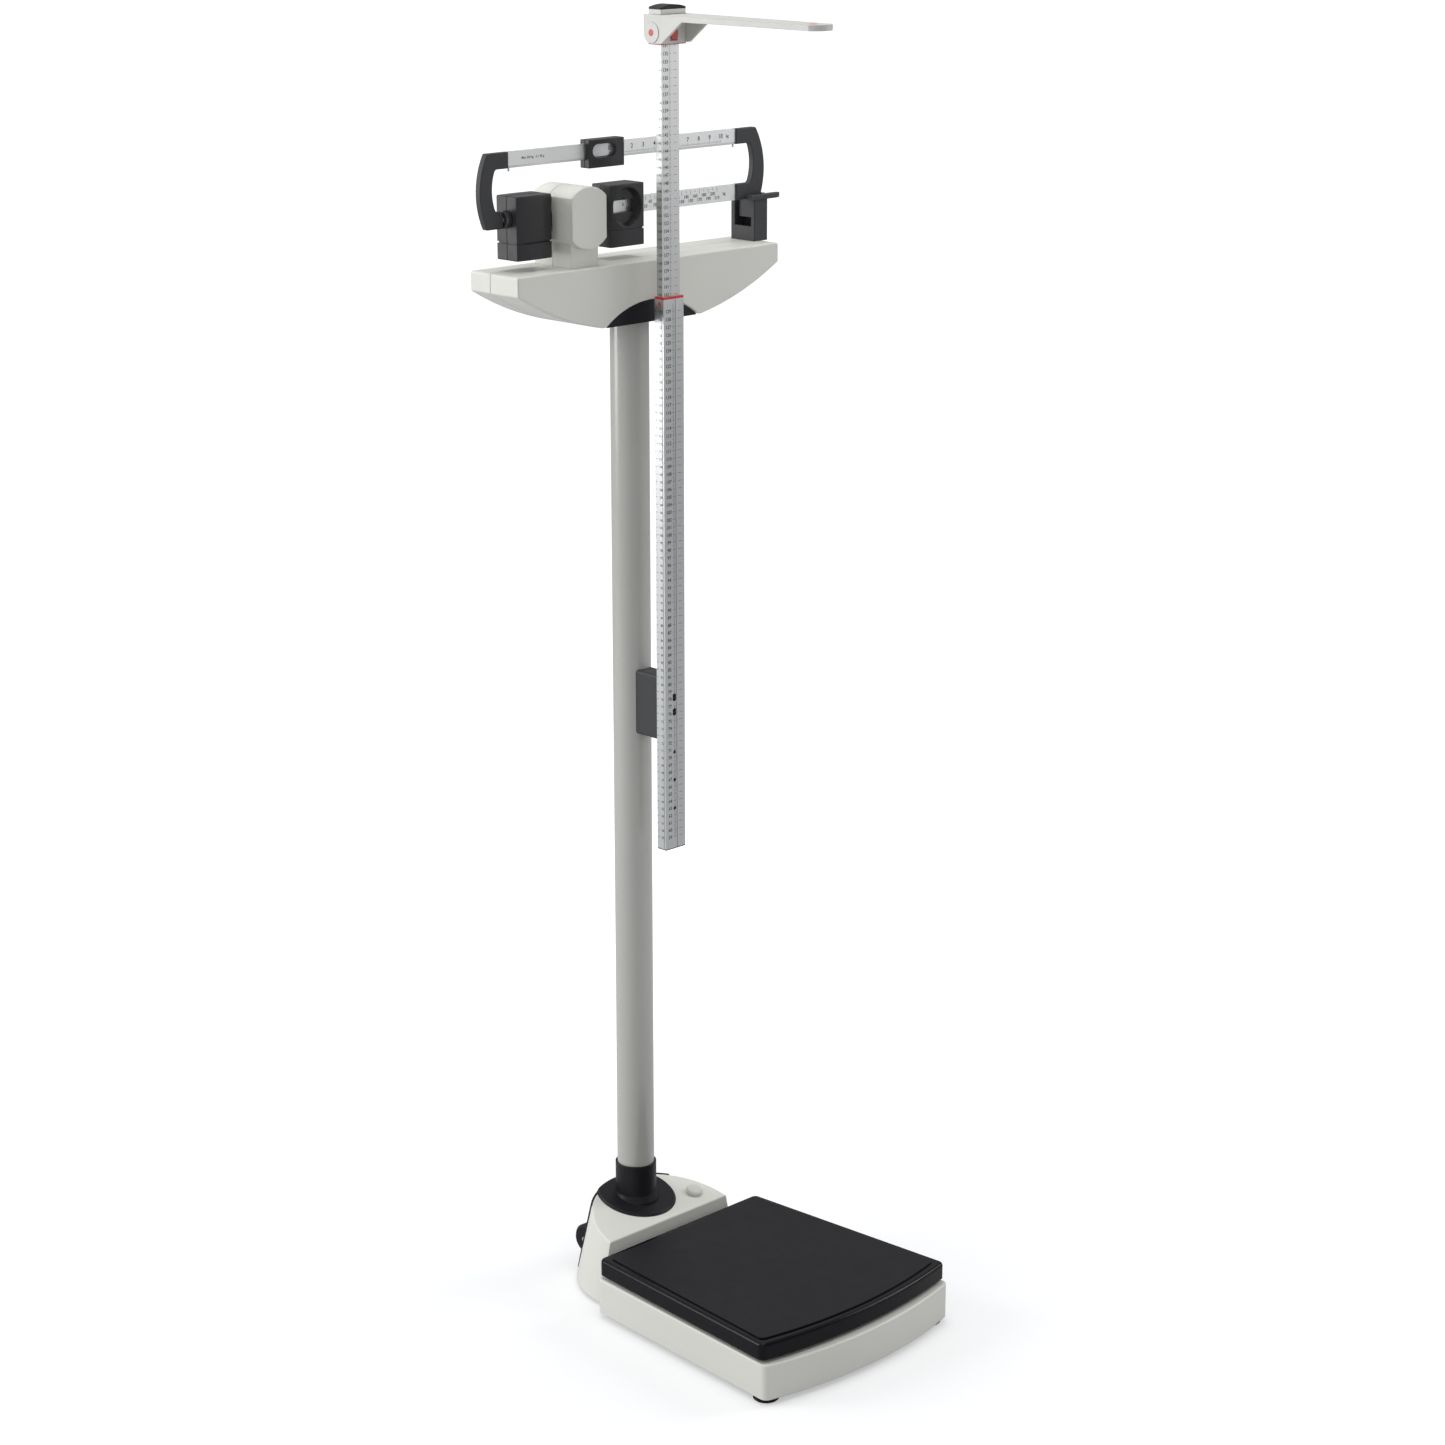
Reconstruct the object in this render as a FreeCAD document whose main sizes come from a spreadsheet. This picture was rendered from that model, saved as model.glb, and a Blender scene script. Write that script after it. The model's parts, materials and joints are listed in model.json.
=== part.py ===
"""Physician beam scale: flared base with a hood, column, boat-shaped head, twin-bar beam, height rod.

Millimetres.  X runs along the beam, -Y points at the person on the platform, +Z is up.
The origin is on the floor, under the centre of the object's overall box.  Sizes along Y are measured
from the column's axis, and node() moves each finished piece back by column_back.
"""
import FreeCAD, Part
import Sketcher
import math
import os
import re

Vector = FreeCAD.Vector
Rotation = FreeCAD.Rotation

# ---------------------------------------------------------------- driving sizes
SIZES = {
    "column_back": 192,
    # base skirt, flared towards the front, and the tray on it
    "base_low": 8, "base_high": 57, "base_back": -84, "base_corner": -424, "base_front": -448,
    "base_half_back": 152, "base_half_front": 175, "shell": 3, "base_round": 10, "tray_round": 9,
    "tray_low": 62, "tray_high": 84.5, "tray_back": -85, "tray_corner": -418, "tray_front": -438,
    "tray_half_back": 149, "tray_half_front": 174.5, "mat_thick": 2, "mat_inset": 11,
    "carrier_reach": 104,
    # half-round hood round the column's foot
    "hood_low": 5, "hood_centre": -66, "hood_radius": 128, "hood_draft": 0.214, "hood_rise": 0.24,
    "hood_axis_high": 105, "hood_round": 2.5, "hood_cone_high": 130, "panel_half": 74,
    "knob_radius": 11.5, "knob_place": 74.5, "knob_back": -38.5,
    # frame, feet and castors
    "frame_low": 10, "frame_thick": 4, "foot_radius": 17, "foot_front": -407, "foot_front_side": 155,
    "foot_rear": -48, "foot_rear_side": 104, "wheel_radius": 21, "wheel_wide": 15, "wheel_side": 52,
    "wheel_back": 34, "fork_side": 46, "wheel_high": 46, "axle_radius": 4, "run_gap": 0.05,
    # levers in the base
    "lever_low": 26, "lever_thick": 8, "long_fulcrum": -395, "short_fulcrum": -95, "cross_place": -245,
    "knife_radius": 3, "short_low": 38, "short_thick": 7, "carrier_low": 48, "carrier_thick": 4,
    # column
    "column_radius": 25.4, "column_wall": 2, "column_low": 46, "column_high": 1374,
    "sleeve_radius": 28.2, "sleeve_high": 156, "flange_radius": 56, "draw_rod_radius": 3,
    # boat-shaped head housing
    "head_half": 228, "head_high": 1408, "head_end_low": 1383, "head_deep": 45, "head_seam": 7,
    "head_round": 3,
    "keel_half": 86, "keel_low": 1329.5, "keel_curve": 446, "arch_half": 80, "arch_curve": 130,
    "arch_foot": 1330, "head_plate_low": 1376, "head_plate_thick": 4, "split_gap": 0.8,
    # tower over the fulcrum
    "tower_place": -107, "tower_radius": 39, "tower_half": 29, "tower_centre": 1470,
    "tower_deep": 41, "tower_wall": 2.5, "cap_thick": 3, "stem_half": 23, "stem_deep": 33.5,
    # beam
    "fulcrum_high": 1463, "load_offset": 14, "bar_half": 2.5, "bracket_half": 4.5,
    "upper_low": 1536, "upper_high": 1556, "lower_low": 1463, "lower_high": 1484,
    "left_joint": -204.5, "right_joint": 190, "spindle_high": 1473.5, "spindle_radius": 4,
    "hub_half": 18, "hub_deep": 6,
    # counterweight
    "weight_left": -205.5, "weight_right": -148, "weight_deep": 20, "weight_low": 1422.5, "weight_high": 1502,
    "groove_low": 1443, "groove_wide": 2.2, "groove_deep": 1.6, "nut_radius": 11, "nut_long": 8,
    # poises
    "poise_left": -47, "poise_long": 58, "poise_deep": 17.5, "poise_low": 1424, "poise_high": 1503,
    "dial_radius": 25, "dial_place": -18, "dial_high": 1474, "dial_floor": -9.5,
    "light_left": -74.5, "light_long": 60.5, "light_deep": 8.5, "light_low": 1525.5, "light_high": 1561,
    "slide_gap": 0.3,
    # pointer post
    "post_left": 212, "post_wide": 25, "post_front": -16, "post_back": 28, "post_high": 1462,
    "post_wall": 3, "flag_low": 1438, "pivot_place": 231, "pivot_front": -12, "pivot_radius": 1.5,
    "plate_thick": 6.5,
    # height rod
    "rod_half": 17.6, "rod_front": -82.4, "rod_back": -66, "rod_low": 631, "rod_high": 1362,
    "inner_half": 15.25, "inner_front": -78, "inner_back": -68, "inner_low": 954, "inner_high": 1722,
    "fit_gap": 0.08, "bracket_low": 778, "bracket_high": 866, "rod_bracket_half": 13.5,
    "slider_half": 21.5, "slider_front": -84.5, "slider_back": -62, "slider_low": 1679,
    "slider_high": 1715, "hinge_back": -72, "hinge_high": 1694, "arm_thick": 7, "arm_reach": -352,
    "arm_root": -87, "cheek_gap": 0.4, "cheek_thick": 4,
}

doc = FreeCAD.newDocument("beam_scale")
sheet = doc.addObject("Spreadsheet::Sheet", "Sheet")
for row, (alias, value) in enumerate(SIZES.items(), start=1):
    sheet.set(f"A{row}", alias)
    sheet.set(f"B{row}", str(value))
    sheet.setAlias(f"B{row}", alias)
doc.recompute()

nodes = {}


# ---------------------------------------------------------------- helpers
def bound(text):
    """Write the sheet's name before each of its aliases."""
    def with_sheet(word):
        return "Sheet." + word[0] if word[0] in SIZES else word[0]

    return re.sub(r"[a-z][a-z_]+", with_sheet, str(text))


def value(text):
    """The number that an expression over the sheet gives."""
    return float(sheet.evalExpression(str(text)))


def bind(item, **formulas):
    for name, formula in formulas.items():
        item.setExpression(name, bound(formula))


def place(item, x, y, z):
    for axis, formula in zip("xyz", (x, y, z)):
        item.setExpression(f"Placement.Base.{axis}", bound(formula))
    return item


def node(item):
    """Finish a sub-part: move it from the column's axis to the object's own origin, and list it."""
    before = dict(item.ExpressionEngine).get("Placement.Base.y") or dict(item.ExpressionEngine).get(
        ".Placement.Base.y", "0")
    item.setExpression("Placement.Base.y", f"({before}) + Sheet.column_back")
    nodes[item.Label] = item
    return item


def box(label, x, y, z):
    item = doc.addObject("Part::Box", label)
    bind(item, Length=f"({x[1]}) - ({x[0]})", Width=f"({y[1]}) - ({y[0]})", Height=f"({z[1]}) - ({z[0]})")
    return place(item, x[0], y[0], z[0])


TURNS = {"X": Rotation(Vector(0, 1, 0), 90), "Y": Rotation(Vector(1, 0, 0), -90), "Z": Rotation()}


def on_axis(item, axis, at, start):
    """Stand a primitive's own Z axis along an axis of the part; at is its place across that axis."""
    item.Placement = FreeCAD.Placement(Vector(), TURNS[axis])
    first, second = at
    spot = {"X": (start, first, second), "Y": (first, start, second), "Z": (first, second, start)}[axis]
    return place(item, *spot)


def cylinder(label, axis, at, radius, span):
    item = doc.addObject("Part::Cylinder", label)
    bind(item, Radius=radius, Height=f"({span[1]}) - ({span[0]})")
    return on_axis(item, axis, at, span[0])


def cone(label, at, low_radius, high_radius, span):
    item = doc.addObject("Part::Cone", label)
    bind(item, Radius1=low_radius, Radius2=high_radius, Height=f"({span[1]}) - ({span[0]})")
    return on_axis(item, "Z", at, span[0])


def union(label, *items):
    item = doc.addObject("Part::MultiFuse", label)
    item.Shapes = list(items)
    item.Refine = True
    return item


def shared(label, *items):
    item = doc.addObject("Part::MultiCommon", label)
    item.Shapes = list(items)
    return item


def cut(label, base, *tools):
    item = doc.addObject("Part::Cut", label)
    item.Base = base
    item.Tool = tools[0] if len(tools) == 1 else union(label + "_tools", *tools)
    item.Refine = True
    return item


def group(label, *items):
    """Separate solids that share one node."""
    item = doc.addObject("Part::Compound", label)
    item.Links = list(items)
    return item


def arc_between(start, end, radius, side):
    """The short arc from start to end that bulges to the left (side 1) or right (side -1)."""
    chord = end - start
    left = Vector(-chord.y, chord.x, 0).normalize()
    rise = math.sqrt(radius ** 2 - (chord.Length / 2) ** 2)
    middle = (start + end) / 2 + left * side * (radius - rise)
    return Part.Arc(start, middle, end)


def trace(sketch, outline):
    """Draw a closed outline whose corners, and arc radii, are bound to the sheet.

    A corner is (x, y), or (x, y, radius, side) where an arc leaves it for the next corner.
    """
    first = sketch.GeometryCount
    corners = [Vector(value(corner[0]), value(corner[1]), 0) for corner in outline]
    count = len(outline)
    ends = []
    for index, corner in enumerate(outline):
        here, after = corners[index], corners[(index + 1) % count]
        if len(corner) == 2:
            sketch.addGeometry(Part.LineSegment(here, after))
            ends.append((1, 2))
        else:
            sketch.addGeometry(arc_between(here, after, value(corner[2]), corner[3]))
            ends.append((2, 1) if corner[3] > 0 else (1, 2))
    for index, corner in enumerate(outline):
        line, after = first + index, first + (index + 1) % count
        start = ends[index][0]
        sketch.addConstraint(Sketcher.Constraint("Coincident", line, ends[index][1],
                                                 after, ends[(index + 1) % count][0]))
        for kind, formula, number in (("DistanceX", corner[0], corners[index].x),
                                      ("DistanceY", corner[1], corners[index].y)):
            rule = sketch.addConstraint(Sketcher.Constraint(kind, -1, 1, line, start, number))
            sketch.setExpression(f"Constraints[{rule}]", bound(formula))
        if len(corner) == 4:
            rule = sketch.addConstraint(Sketcher.Constraint("Radius", line, value(corner[2])))
            sketch.setExpression(f"Constraints[{rule}]", bound(corner[2]))


def new_sketch(body, plane, offset="0"):
    sketch = body.newObject("Sketcher::SketchObject", body.Name + "_sketch")
    origin_plane = [item for item in body.Origin.OriginFeatures if item.Role == plane + "_Plane"][0]
    sketch.AttachmentSupport = [(origin_plane, "")]
    sketch.MapMode = "FlatFace"
    sketch.setExpression("AttachmentOffset.Base.z", bound(offset))
    return sketch


def prism(label, plane, outline, span, *holes):
    """A body padded from one sketch; span is the stretch covered along the plane's missing axis."""
    body = doc.addObject("PartDesign::Body", label)
    offset = f"-({span[1]})" if plane == "XZ" else span[0]
    sketch = new_sketch(body, plane, offset)
    trace(sketch, outline)
    for hole in holes:
        trace(sketch, hole)
    pad = body.newObject("PartDesign::Pad", label + "_pad")
    pad.Profile = sketch
    bind(pad, Length=f"({span[1]}) - ({span[0]})")
    return body


def lathe(label, outline):
    """A body turned round the Z axis from an outline of (radius, height) corners."""
    body = doc.addObject("PartDesign::Body", label)
    sketch = new_sketch(body, "XZ")
    trace(sketch, outline)
    turned = body.newObject("PartDesign::Revolution", label + "_turned")
    turned.Profile = sketch
    turned.ReferenceAxis = (sketch, ["V_Axis"])
    turned.Angle = 360
    return body


def rounded(body, radius, wanted):
    """Fillet the edges of a body's tip whose middle point and direction pass the test."""
    doc.recompute()
    names = []
    for index, edge in enumerate(body.Tip.Shape.Edges, start=1):
        middle = edge.valueAt((edge.FirstParameter + edge.LastParameter) / 2)
        along = edge.tangentAt((edge.FirstParameter + edge.LastParameter) / 2)
        if wanted(middle, along):
            names.append(f"Edge{index}")
    before = body.Tip
    fillet = body.newObject("PartDesign::Fillet", body.Name + "_round")
    fillet.Base = (before, names)
    bind(fillet, Radius=radius)
    body.Tip = fillet
    return body


def upright(middle, along):
    return abs(along.z) > 0.9


def rectangle(x, y):
    return [(x[0], y[0]), (x[1], y[0]), (x[1], y[1]), (x[0], y[1])]


def sides(label, maker, distance):
    """The same piece made at plus and minus a distance from the centre plane."""
    return [maker(f"{label}_left", f"-({distance})", -1), maker(f"{label}_right", distance, 1)]


# ---------------------------------------------------------------- base: skirt, tray and mat
def flared(part, inset="0"):
    """The plan of the skirt or tray: straight flared sides and a bowed front."""
    back, corner, front = f"{part}_back - ({inset})", f"{part}_corner + ({inset})", f"{part}_front + ({inset})"
    half_back, half_front = f"{part}_half_back - ({inset})", f"{part}_half_front - ({inset})"
    bow = f"({part}_corner - {part}_front)"
    radius = f"(({half_front})^2 + {bow}^2) / (2 * {bow})"
    return [(f"-({half_back})", back), (f"-({half_front})", corner, radius, -1),
            (half_front, corner), (half_back, back)]


def build_skirt():
    outside = prism("skirt_outside", "XY", flared("base"), ("base_low", "base_high"))
    rounded(outside, "base_round", upright)
    rounded(outside, "2.5", lambda middle, along: abs(middle.z - value("base_high")) < 0.01)
    inside = prism("skirt_inside", "XY", flared("base", "shell"), ("base_low - 1", "base_high - shell"))
    mouth = prism("skirt_mouth", "XY", flared("base", "24"), ("base_high - 10", "base_high + 1"))
    doorway = box("skirt_doorway", ("-142", "142"), ("base_back - 8", "base_back + 1"),
                  ("base_low - 1", "50"))
    node(cut("base_housing", outside, inside, mouth, doorway))


def build_tray():
    outside = prism("tray_outside", "XY", flared("tray"), ("tray_low", "tray_high"))
    rounded(outside, "tray_round", upright)
    rounded(outside, "4.5", lambda middle, along: abs(middle.z - value("tray_high")) < 0.01)
    inside = prism("tray_inside", "XY", flared("tray", "shell"), ("tray_low - 1", "tray_high - shell"))
    node(cut("platform_tray", outside, inside))
    mat = prism("rubber_mat", "XY", flared("tray", "mat_inset"), ("tray_high", "tray_high + mat_thick"))
    node(rounded(mat, "8", upright))


# ---------------------------------------------------------------- hood, back panel, sleeve, knob
def hood_cone(label, grow):
    """The hood's outer or inner cone, drawn in towards its top."""
    tall = "(hood_cone_high - hood_low)"
    return cone(label, ("0", "hood_centre"), f"hood_radius + ({grow})",
                f"hood_radius + ({grow}) - hood_draft * {tall}", ("hood_low", "hood_cone_high"))


def under_slope(label, half, front, back, lower):
    """Everything under the hood's sloping top, from front to back, lowered by a distance."""
    top = "hood_axis_high + hood_rise * ({}) - ({})"
    outline = [(front, "0"), (back, "0"), (back, top.format(back, lower)), (front, top.format(front, lower))]
    return prism(label, "YZ", outline, (f"-({half})", half))


def wheel_well(label, at, side):
    """The opening through the hood for a castor wheel and its fork."""
    near, far = "fork_side - 4.5", "wheel_side + wheel_wide + 2"
    span = (near, far) if side > 0 else (f"-({far})", f"-({near})")
    around = "wheel_radius + 2.5"
    return box(label, span, ("8", "80"), (f"wheel_high - ({around})", f"wheel_high + {around}"))


def eased(label, solid, radius, wanted):
    """A copy of a solid whose edges that pass the test are rounded."""
    doc.recompute()
    chosen = []
    for index, edge in enumerate(solid.Shape.Edges, start=1):
        middle = edge.valueAt((edge.FirstParameter + edge.LastParameter) / 2)
        if wanted(middle):
            chosen.append((index, value(radius), value(radius)))
    item = doc.addObject("Part::Fillet", label)
    item.Base = solid
    item.Edges = chosen
    return item


def build_hood():
    sharp = shared("hood_sharp", hood_cone("hood_outer_cone", "0"),
                   under_slope("hood_outer_slope", "140", "hood_centre", "80", "0"))
    outside = eased("hood_outside", sharp, "hood_round", lambda middle: middle.z > 80)
    inside = shared("hood_inside", hood_cone("hood_inner_cone", "-shell"),
                    under_slope("hood_inner_slope", "140", "hood_centre + shell", "80", "shell"))
    floor = cylinder("hood_floor", "Z", ("0", "hood_centre"), "hood_radius - shell",
                     ("hood_low - 1", "hood_low + 0.1"))
    behind = box("hood_behind", ("-140", "140"), ("hood_centre + shell", "80"), ("0", "60"))
    floor_half = shared("hood_floor_half", floor, behind)
    doorway = box("hood_doorway", ("-122", "122"), ("hood_centre - 2", "hood_centre + shell + 1"),
                  ("hood_low - 1", "52"))
    collar = cylinder("hood_collar_hole", "Z", ("0", "0"), "sleeve_radius + 0.2", ("60", "140"))
    wells = sides("hood_well", wheel_well, "fork_side")
    seat = cylinder("hood_knob_hole", "Z", ("knob_place", "knob_back"), "4.8", ("60", "140"))
    node(cut("rear_hood", outside, inside, floor_half, doorway, collar, *wells, seat))


def build_panel():
    skin = cut("panel_skin", hood_cone("panel_outer_cone", "2.2"), hood_cone("panel_inner_cone", "0.2"))
    reach = box("panel_reach", ("-panel_half", "panel_half"), ("0", "80"), ("hood_low", "hood_cone_high"))
    below = under_slope("panel_slope", "panel_half", "0", "80", "0")
    wells = sides("panel_well", wheel_well, "fork_side")
    node(cut("hood_back_panel", shared("panel_patch", skin, reach, below), *wells))


def build_sleeve():
    disc = doc.addObject("Part::Cone", "flange_disc")
    bind(disc, Radius1="flange_radius", Radius2="flange_radius - 3", Height="3")
    slope = math.degrees(math.atan(value("hood_rise")))
    disc.Placement = FreeCAD.Placement(Vector(), Rotation(Vector(1, 0, 0), slope))
    place(disc, "0", "0", "hood_axis_high + 0.1")
    trimmed = shared("flange_trimmed", disc, hood_cone("flange_trim_cone", "2.2"))
    tube = cylinder("sleeve_tube", "Z", ("0", "0"), "sleeve_radius", ("84", "sleeve_high"))
    foot = cone("sleeve_foot", ("0", "0"), "sleeve_radius + 4", "sleeve_radius", ("102", "112"))
    above = cut("sleeve_foot_above", foot, under_slope("sleeve_below", "50", "-50", "50", "0"))
    bore = cylinder("sleeve_bore", "Z", ("0", "0"), "column_radius + 0.1", ("80", "sleeve_high + 1"))
    node(cut("column_sleeve", union("sleeve_whole", trimmed, tube, above), bore))


def build_knob():
    top = "(hood_axis_high + hood_rise * knob_back)"
    dome = lathe("lock_knob", [("0", "-9"), ("3.9", "-9"), ("3.9", "1.2"), ("knob_radius", "1.2"),
                               ("knob_radius", "4.5"), ("knob_radius - 2", "6.5"), ("0", "7.2")])
    slope = math.degrees(math.atan(value("hood_rise")))
    dome.Placement = FreeCAD.Placement(Vector(), Rotation(Vector(1, 0, 0), slope))
    node(place(dome, "knob_place", "knob_back", top))


# ---------------------------------------------------------------- frame, feet and castors
def build_frame():
    plan = [("-166", "-417"), ("166", "-417"), ("140", "-90"), ("116", "-60"), ("108", "-14"),
            ("72", "30"), ("-72", "30"), ("-108", "-14"), ("-116", "-60"), ("-140", "-90")]
    front_window = [("-96", "-350"), ("96", "-350"), ("86", "-120"), ("-86", "-120")]
    plate = prism("frame_plate", "XY", plan, ("frame_low", "frame_low + frame_thick"), front_window)
    socket = cylinder("frame_socket", "Z", ("0", "0"), "column_radius + 5", ("frame_low", "83.5"))
    rails = sides("frame_rail", lambda label, at, side: box(
        label, (f"{at} - 2", f"{at} + 2"), ("-340", "-72"), ("frame_low", "22")), "134")
    bore = cylinder("frame_bore", "Z", ("0", "0"), "column_radius + 0.1", ("column_low", "91"))
    slot = box("frame_slot", ("-18", "18"), ("-40", "16"), ("frame_low + frame_thick", "column_low + 1"))
    feet = [cylinder(f"frame_foot_hole_{index}", "Z", spot, "5", ("0", "30"))
            for index, spot in enumerate(FEET.values())]
    node(cut("base_frame", union("frame_whole", plate, socket, *rails), bore, slot, *feet))


FEET = {
    "foot_front_left": ("-foot_front_side", "foot_front"),
    "foot_front_right": ("foot_front_side", "foot_front"),
    "foot_rear_left": ("-foot_rear_side", "foot_rear"),
    "foot_rear_right": ("foot_rear_side", "foot_rear"),
}


def build_feet():
    for label, (x, y) in FEET.items():
        foot = lathe(label, [("0", "0"), ("foot_radius - 1.5", "0"), ("foot_radius", "1.5"),
                             ("foot_radius", "5.5"), ("foot_radius - 2", "7.5"), ("5 - run_gap", "7.5"),
                             ("5 - run_gap", "20"), ("0", "20")])
        node(place(foot, x, y, "0"))


def build_castors():
    def fork(label, at, side):
        plate = box(label + "_plate", (f"{at} - 3", f"{at} + 3"), ("14", "wheel_back + 5"),
                    ("wheel_high - 9", "wheel_high + 9"))
        leg = box(label + "_leg", (f"{at} - 3", f"{at} + 3"), ("14", "24"),
                  ("frame_low + frame_thick", "wheel_high + 9"))
        hole = cylinder(label + "_hole", "X", ("wheel_back", "wheel_high"), "axle_radius",
                        (f"{at} - 5", f"{at} + 5"))
        return cut(label, union(label + "_whole", plate, leg), hole)

    def axle(label, at, side):
        inner, outer = "fork_side - 4", "wheel_side + wheel_wide + 1"
        span = (inner, outer) if side > 0 else (f"-({outer})", f"-({inner})")
        return cylinder(label, "X", ("wheel_back", "wheel_high"), "axle_radius", span)

    node(group("castor_brackets", *sides("castor_fork", fork, "fork_side")))
    node(group("castor_axles", *sides("castor_axle", axle, "70")))
    for label, side in (("castor_wheel_left", -1), ("castor_wheel_right", 1)):
        near, far = "wheel_side", "wheel_side + wheel_wide"
        half = "wheel_wide / 2"
        wheel = lathe(label, [("axle_radius + run_gap", f"-({half})"), ("wheel_radius - 3", f"-({half})"),
                              ("wheel_radius", f"3 - ({half})"), ("wheel_radius", f"({half}) - 3"),
                              ("wheel_radius - 3", half), ("axle_radius + run_gap", half)])
        wheel.Placement = FreeCAD.Placement(Vector(), TURNS["X"])
        node(place(wheel, f"{side} * (({near}) + ({far})) / 2", "wheel_back", "wheel_high"))


# ---------------------------------------------------------------- levers under the platform
def build_levers():
    long_plan = [("-128", "long_fulcrum - 6"), ("128", "long_fulcrum - 6"), ("14", "-36"), ("7", "-22"),
                 ("7", "12"), ("-7", "12"), ("-7", "-22"), ("-14", "-36")]
    long_window = [("-104", "long_fulcrum + 12"), ("104", "long_fulcrum + 12"),
                   ("72", "cross_place - 12"), ("-72", "cross_place - 12")]
    rear_window = [("-58", "cross_place + 6"), ("58", "cross_place + 6"), ("8", "-64"), ("-8", "-64")]
    arms = prism("long_lever_arms", "XY", long_plan, ("lever_low", "lever_low + lever_thick"),
                 long_window, rear_window)
    fulcrum = "lever_low + lever_thick / 2"
    pins = sides("long_pin", lambda label, at, side: cylinder(
        label, "X", ("long_fulcrum", fulcrum), "knife_radius",
        ("120", "140") if side > 0 else ("-140", "-120")), "130")
    seats = sides("long_seat", lambda label, at, side: box(
        label, (f"{at} - 5", f"{at} + 5"), ("long_fulcrum + 21", "long_fulcrum + 31"),
        ("lever_low + lever_thick - 1", "37")), "112")
    node(union("long_lever", arms, *pins, *seats))

    short_plan = [("-112", "short_fulcrum + 5"), ("-10", "cross_place - 6"), ("10", "cross_place - 6"),
                  ("112", "short_fulcrum + 5")]
    short_window = [("-66", "short_fulcrum - 40"), ("-6", "cross_place + 24"), ("6", "cross_place + 24"),
                    ("66", "short_fulcrum - 40")]
    vee = prism("short_lever_arms", "XY", short_plan, ("short_low", "short_low + short_thick"), short_window)
    pins = sides("short_pin", lambda label, at, side: cylinder(
        label, "X", ("short_fulcrum", "short_low + short_thick / 2"), "knife_radius",
        ("104", "124") if side > 0 else ("-124", "-104")), "110")
    nose = box("short_nose", ("-6", "6"), ("cross_place - 4", "cross_place + 4"),
               ("lever_low + lever_thick + 0.4", "short_low + 1"))
    node(union("short_lever", vee, nose, *pins))


def build_carrier():
    plate_plan = rectangle(("-118", "118"), ("-382", "-104"))
    window = rectangle(("-96", "96"), ("-356", "-134"))
    plate = prism("carrier_plate", "XY", plate_plan, ("carrier_low", "carrier_low + carrier_thick"), window)
    posts = []
    for name, y in (("front", "-369"), ("rear", "-121")):
        low = "37.4" if name == "front" else "short_low + short_thick + 0.4"
        reach = "112" if name == "front" else "90"
        posts += sides(f"carrier_{name}_leg", lambda label, at, side, y=y, low=low: box(
            label, (f"{at} - 5", f"{at} + 5"), (f"{y} - 5", f"{y} + 5"), (low, "carrier_low + 1")), reach)
        posts += sides(f"carrier_{name}_post", lambda label, at, side, y=y: box(
            label, (f"{at} - 9", f"{at} + 9"), (f"{y} - 9", f"{y} + 9"),
            ("carrier_low", "tray_high - shell")), "carrier_reach")
    node(union("platform_carrier", plate, *posts))


def build_bearings():
    """V-blocks in the base for both levers, and the two uprights that carry the beam's knife edge."""
    blocks = []
    for name, y, z, place_x in (("long", "long_fulcrum", "lever_low + lever_thick / 2", "135"),
                                ("short", "short_fulcrum", "short_low + short_thick / 2", "119")):
        def block(label, at, side, y=y, z=z):
            body = box(label + "_body", (f"{at} - 4", f"{at} + 4"), (f"{y} - 7", f"{y} + 7"),
                       ("frame_low + frame_thick", f"{z} + 5"))
            hole = cylinder(label + "_hole", "X", (y, z), "knife_radius + run_gap", (f"{at} - 5", f"{at} + 5"))
            return cut(label, body, hole)
        blocks += sides(f"{name}_bearing", block, place_x)

    def upright_block(label, at, side):
        body = box(label + "_body", ("tower_place - 7", "tower_place + 7"), (f"{at} - 2.5", f"{at} + 2.5"),
                   ("head_plate_low + head_plate_thick", "fulcrum_high + 7"))
        hole = cylinder(label + "_hole", "Y", ("tower_place", "fulcrum_high"), "knife_radius + run_gap",
                        (f"{at} - 4", f"{at} + 4"))
        return cut(label, body, hole)

    def transfer_block(label, at, side):
        body = box(label + "_body", ("-186", "-174"), (f"{at} - 2", f"{at} + 2"),
                   ("head_plate_low + head_plate_thick", "1399"))
        hole = cylinder(label + "_hole", "Y", ("-180", "1392"), "knife_radius + run_gap",
                        (f"{at} - 4", f"{at} + 4"))
        return cut(label, body, hole)

    blocks += sides("beam_bearing", upright_block, "18")
    blocks += sides("transfer_bearing", transfer_block, "12")
    node(group("knife_bearings", *blocks))


# ---------------------------------------------------------------- column and the pull to the head
def build_column():
    tube = cylinder("column_outside", "Z", ("0", "0"), "column_radius", ("column_low", "column_high"))
    bore = cylinder("column_inside", "Z", ("0", "0"), "column_radius - column_wall",
                    ("column_low - 1", "column_high + 1"))
    node(cut("column_tube", tube, bore))
    shank = cylinder("draw_shank", "Z", ("0", "0"), "draw_rod_radius", ("42", "1384"))
    hook = box("draw_hook", ("-12", "12"), ("-5", "5"), ("20.5", "44"))
    gap = box("draw_hook_gap", ("-8.5", "8.5"), ("-6", "6"), ("lever_low - 0.4", "36"))
    low_stirrup = cut("draw_low_stirrup", hook, gap)
    top = box("draw_top", ("-4", "4"), ("-9", "9"), ("1381", "1402"))
    top_gap = box("draw_top_gap", ("-5", "5"), ("-6", "6"), ("1386", "1396.4"))
    top_stirrup = cut("draw_top_stirrup", top, top_gap)
    node(union("draw_rod", shank, low_stirrup, top_stirrup))


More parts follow.
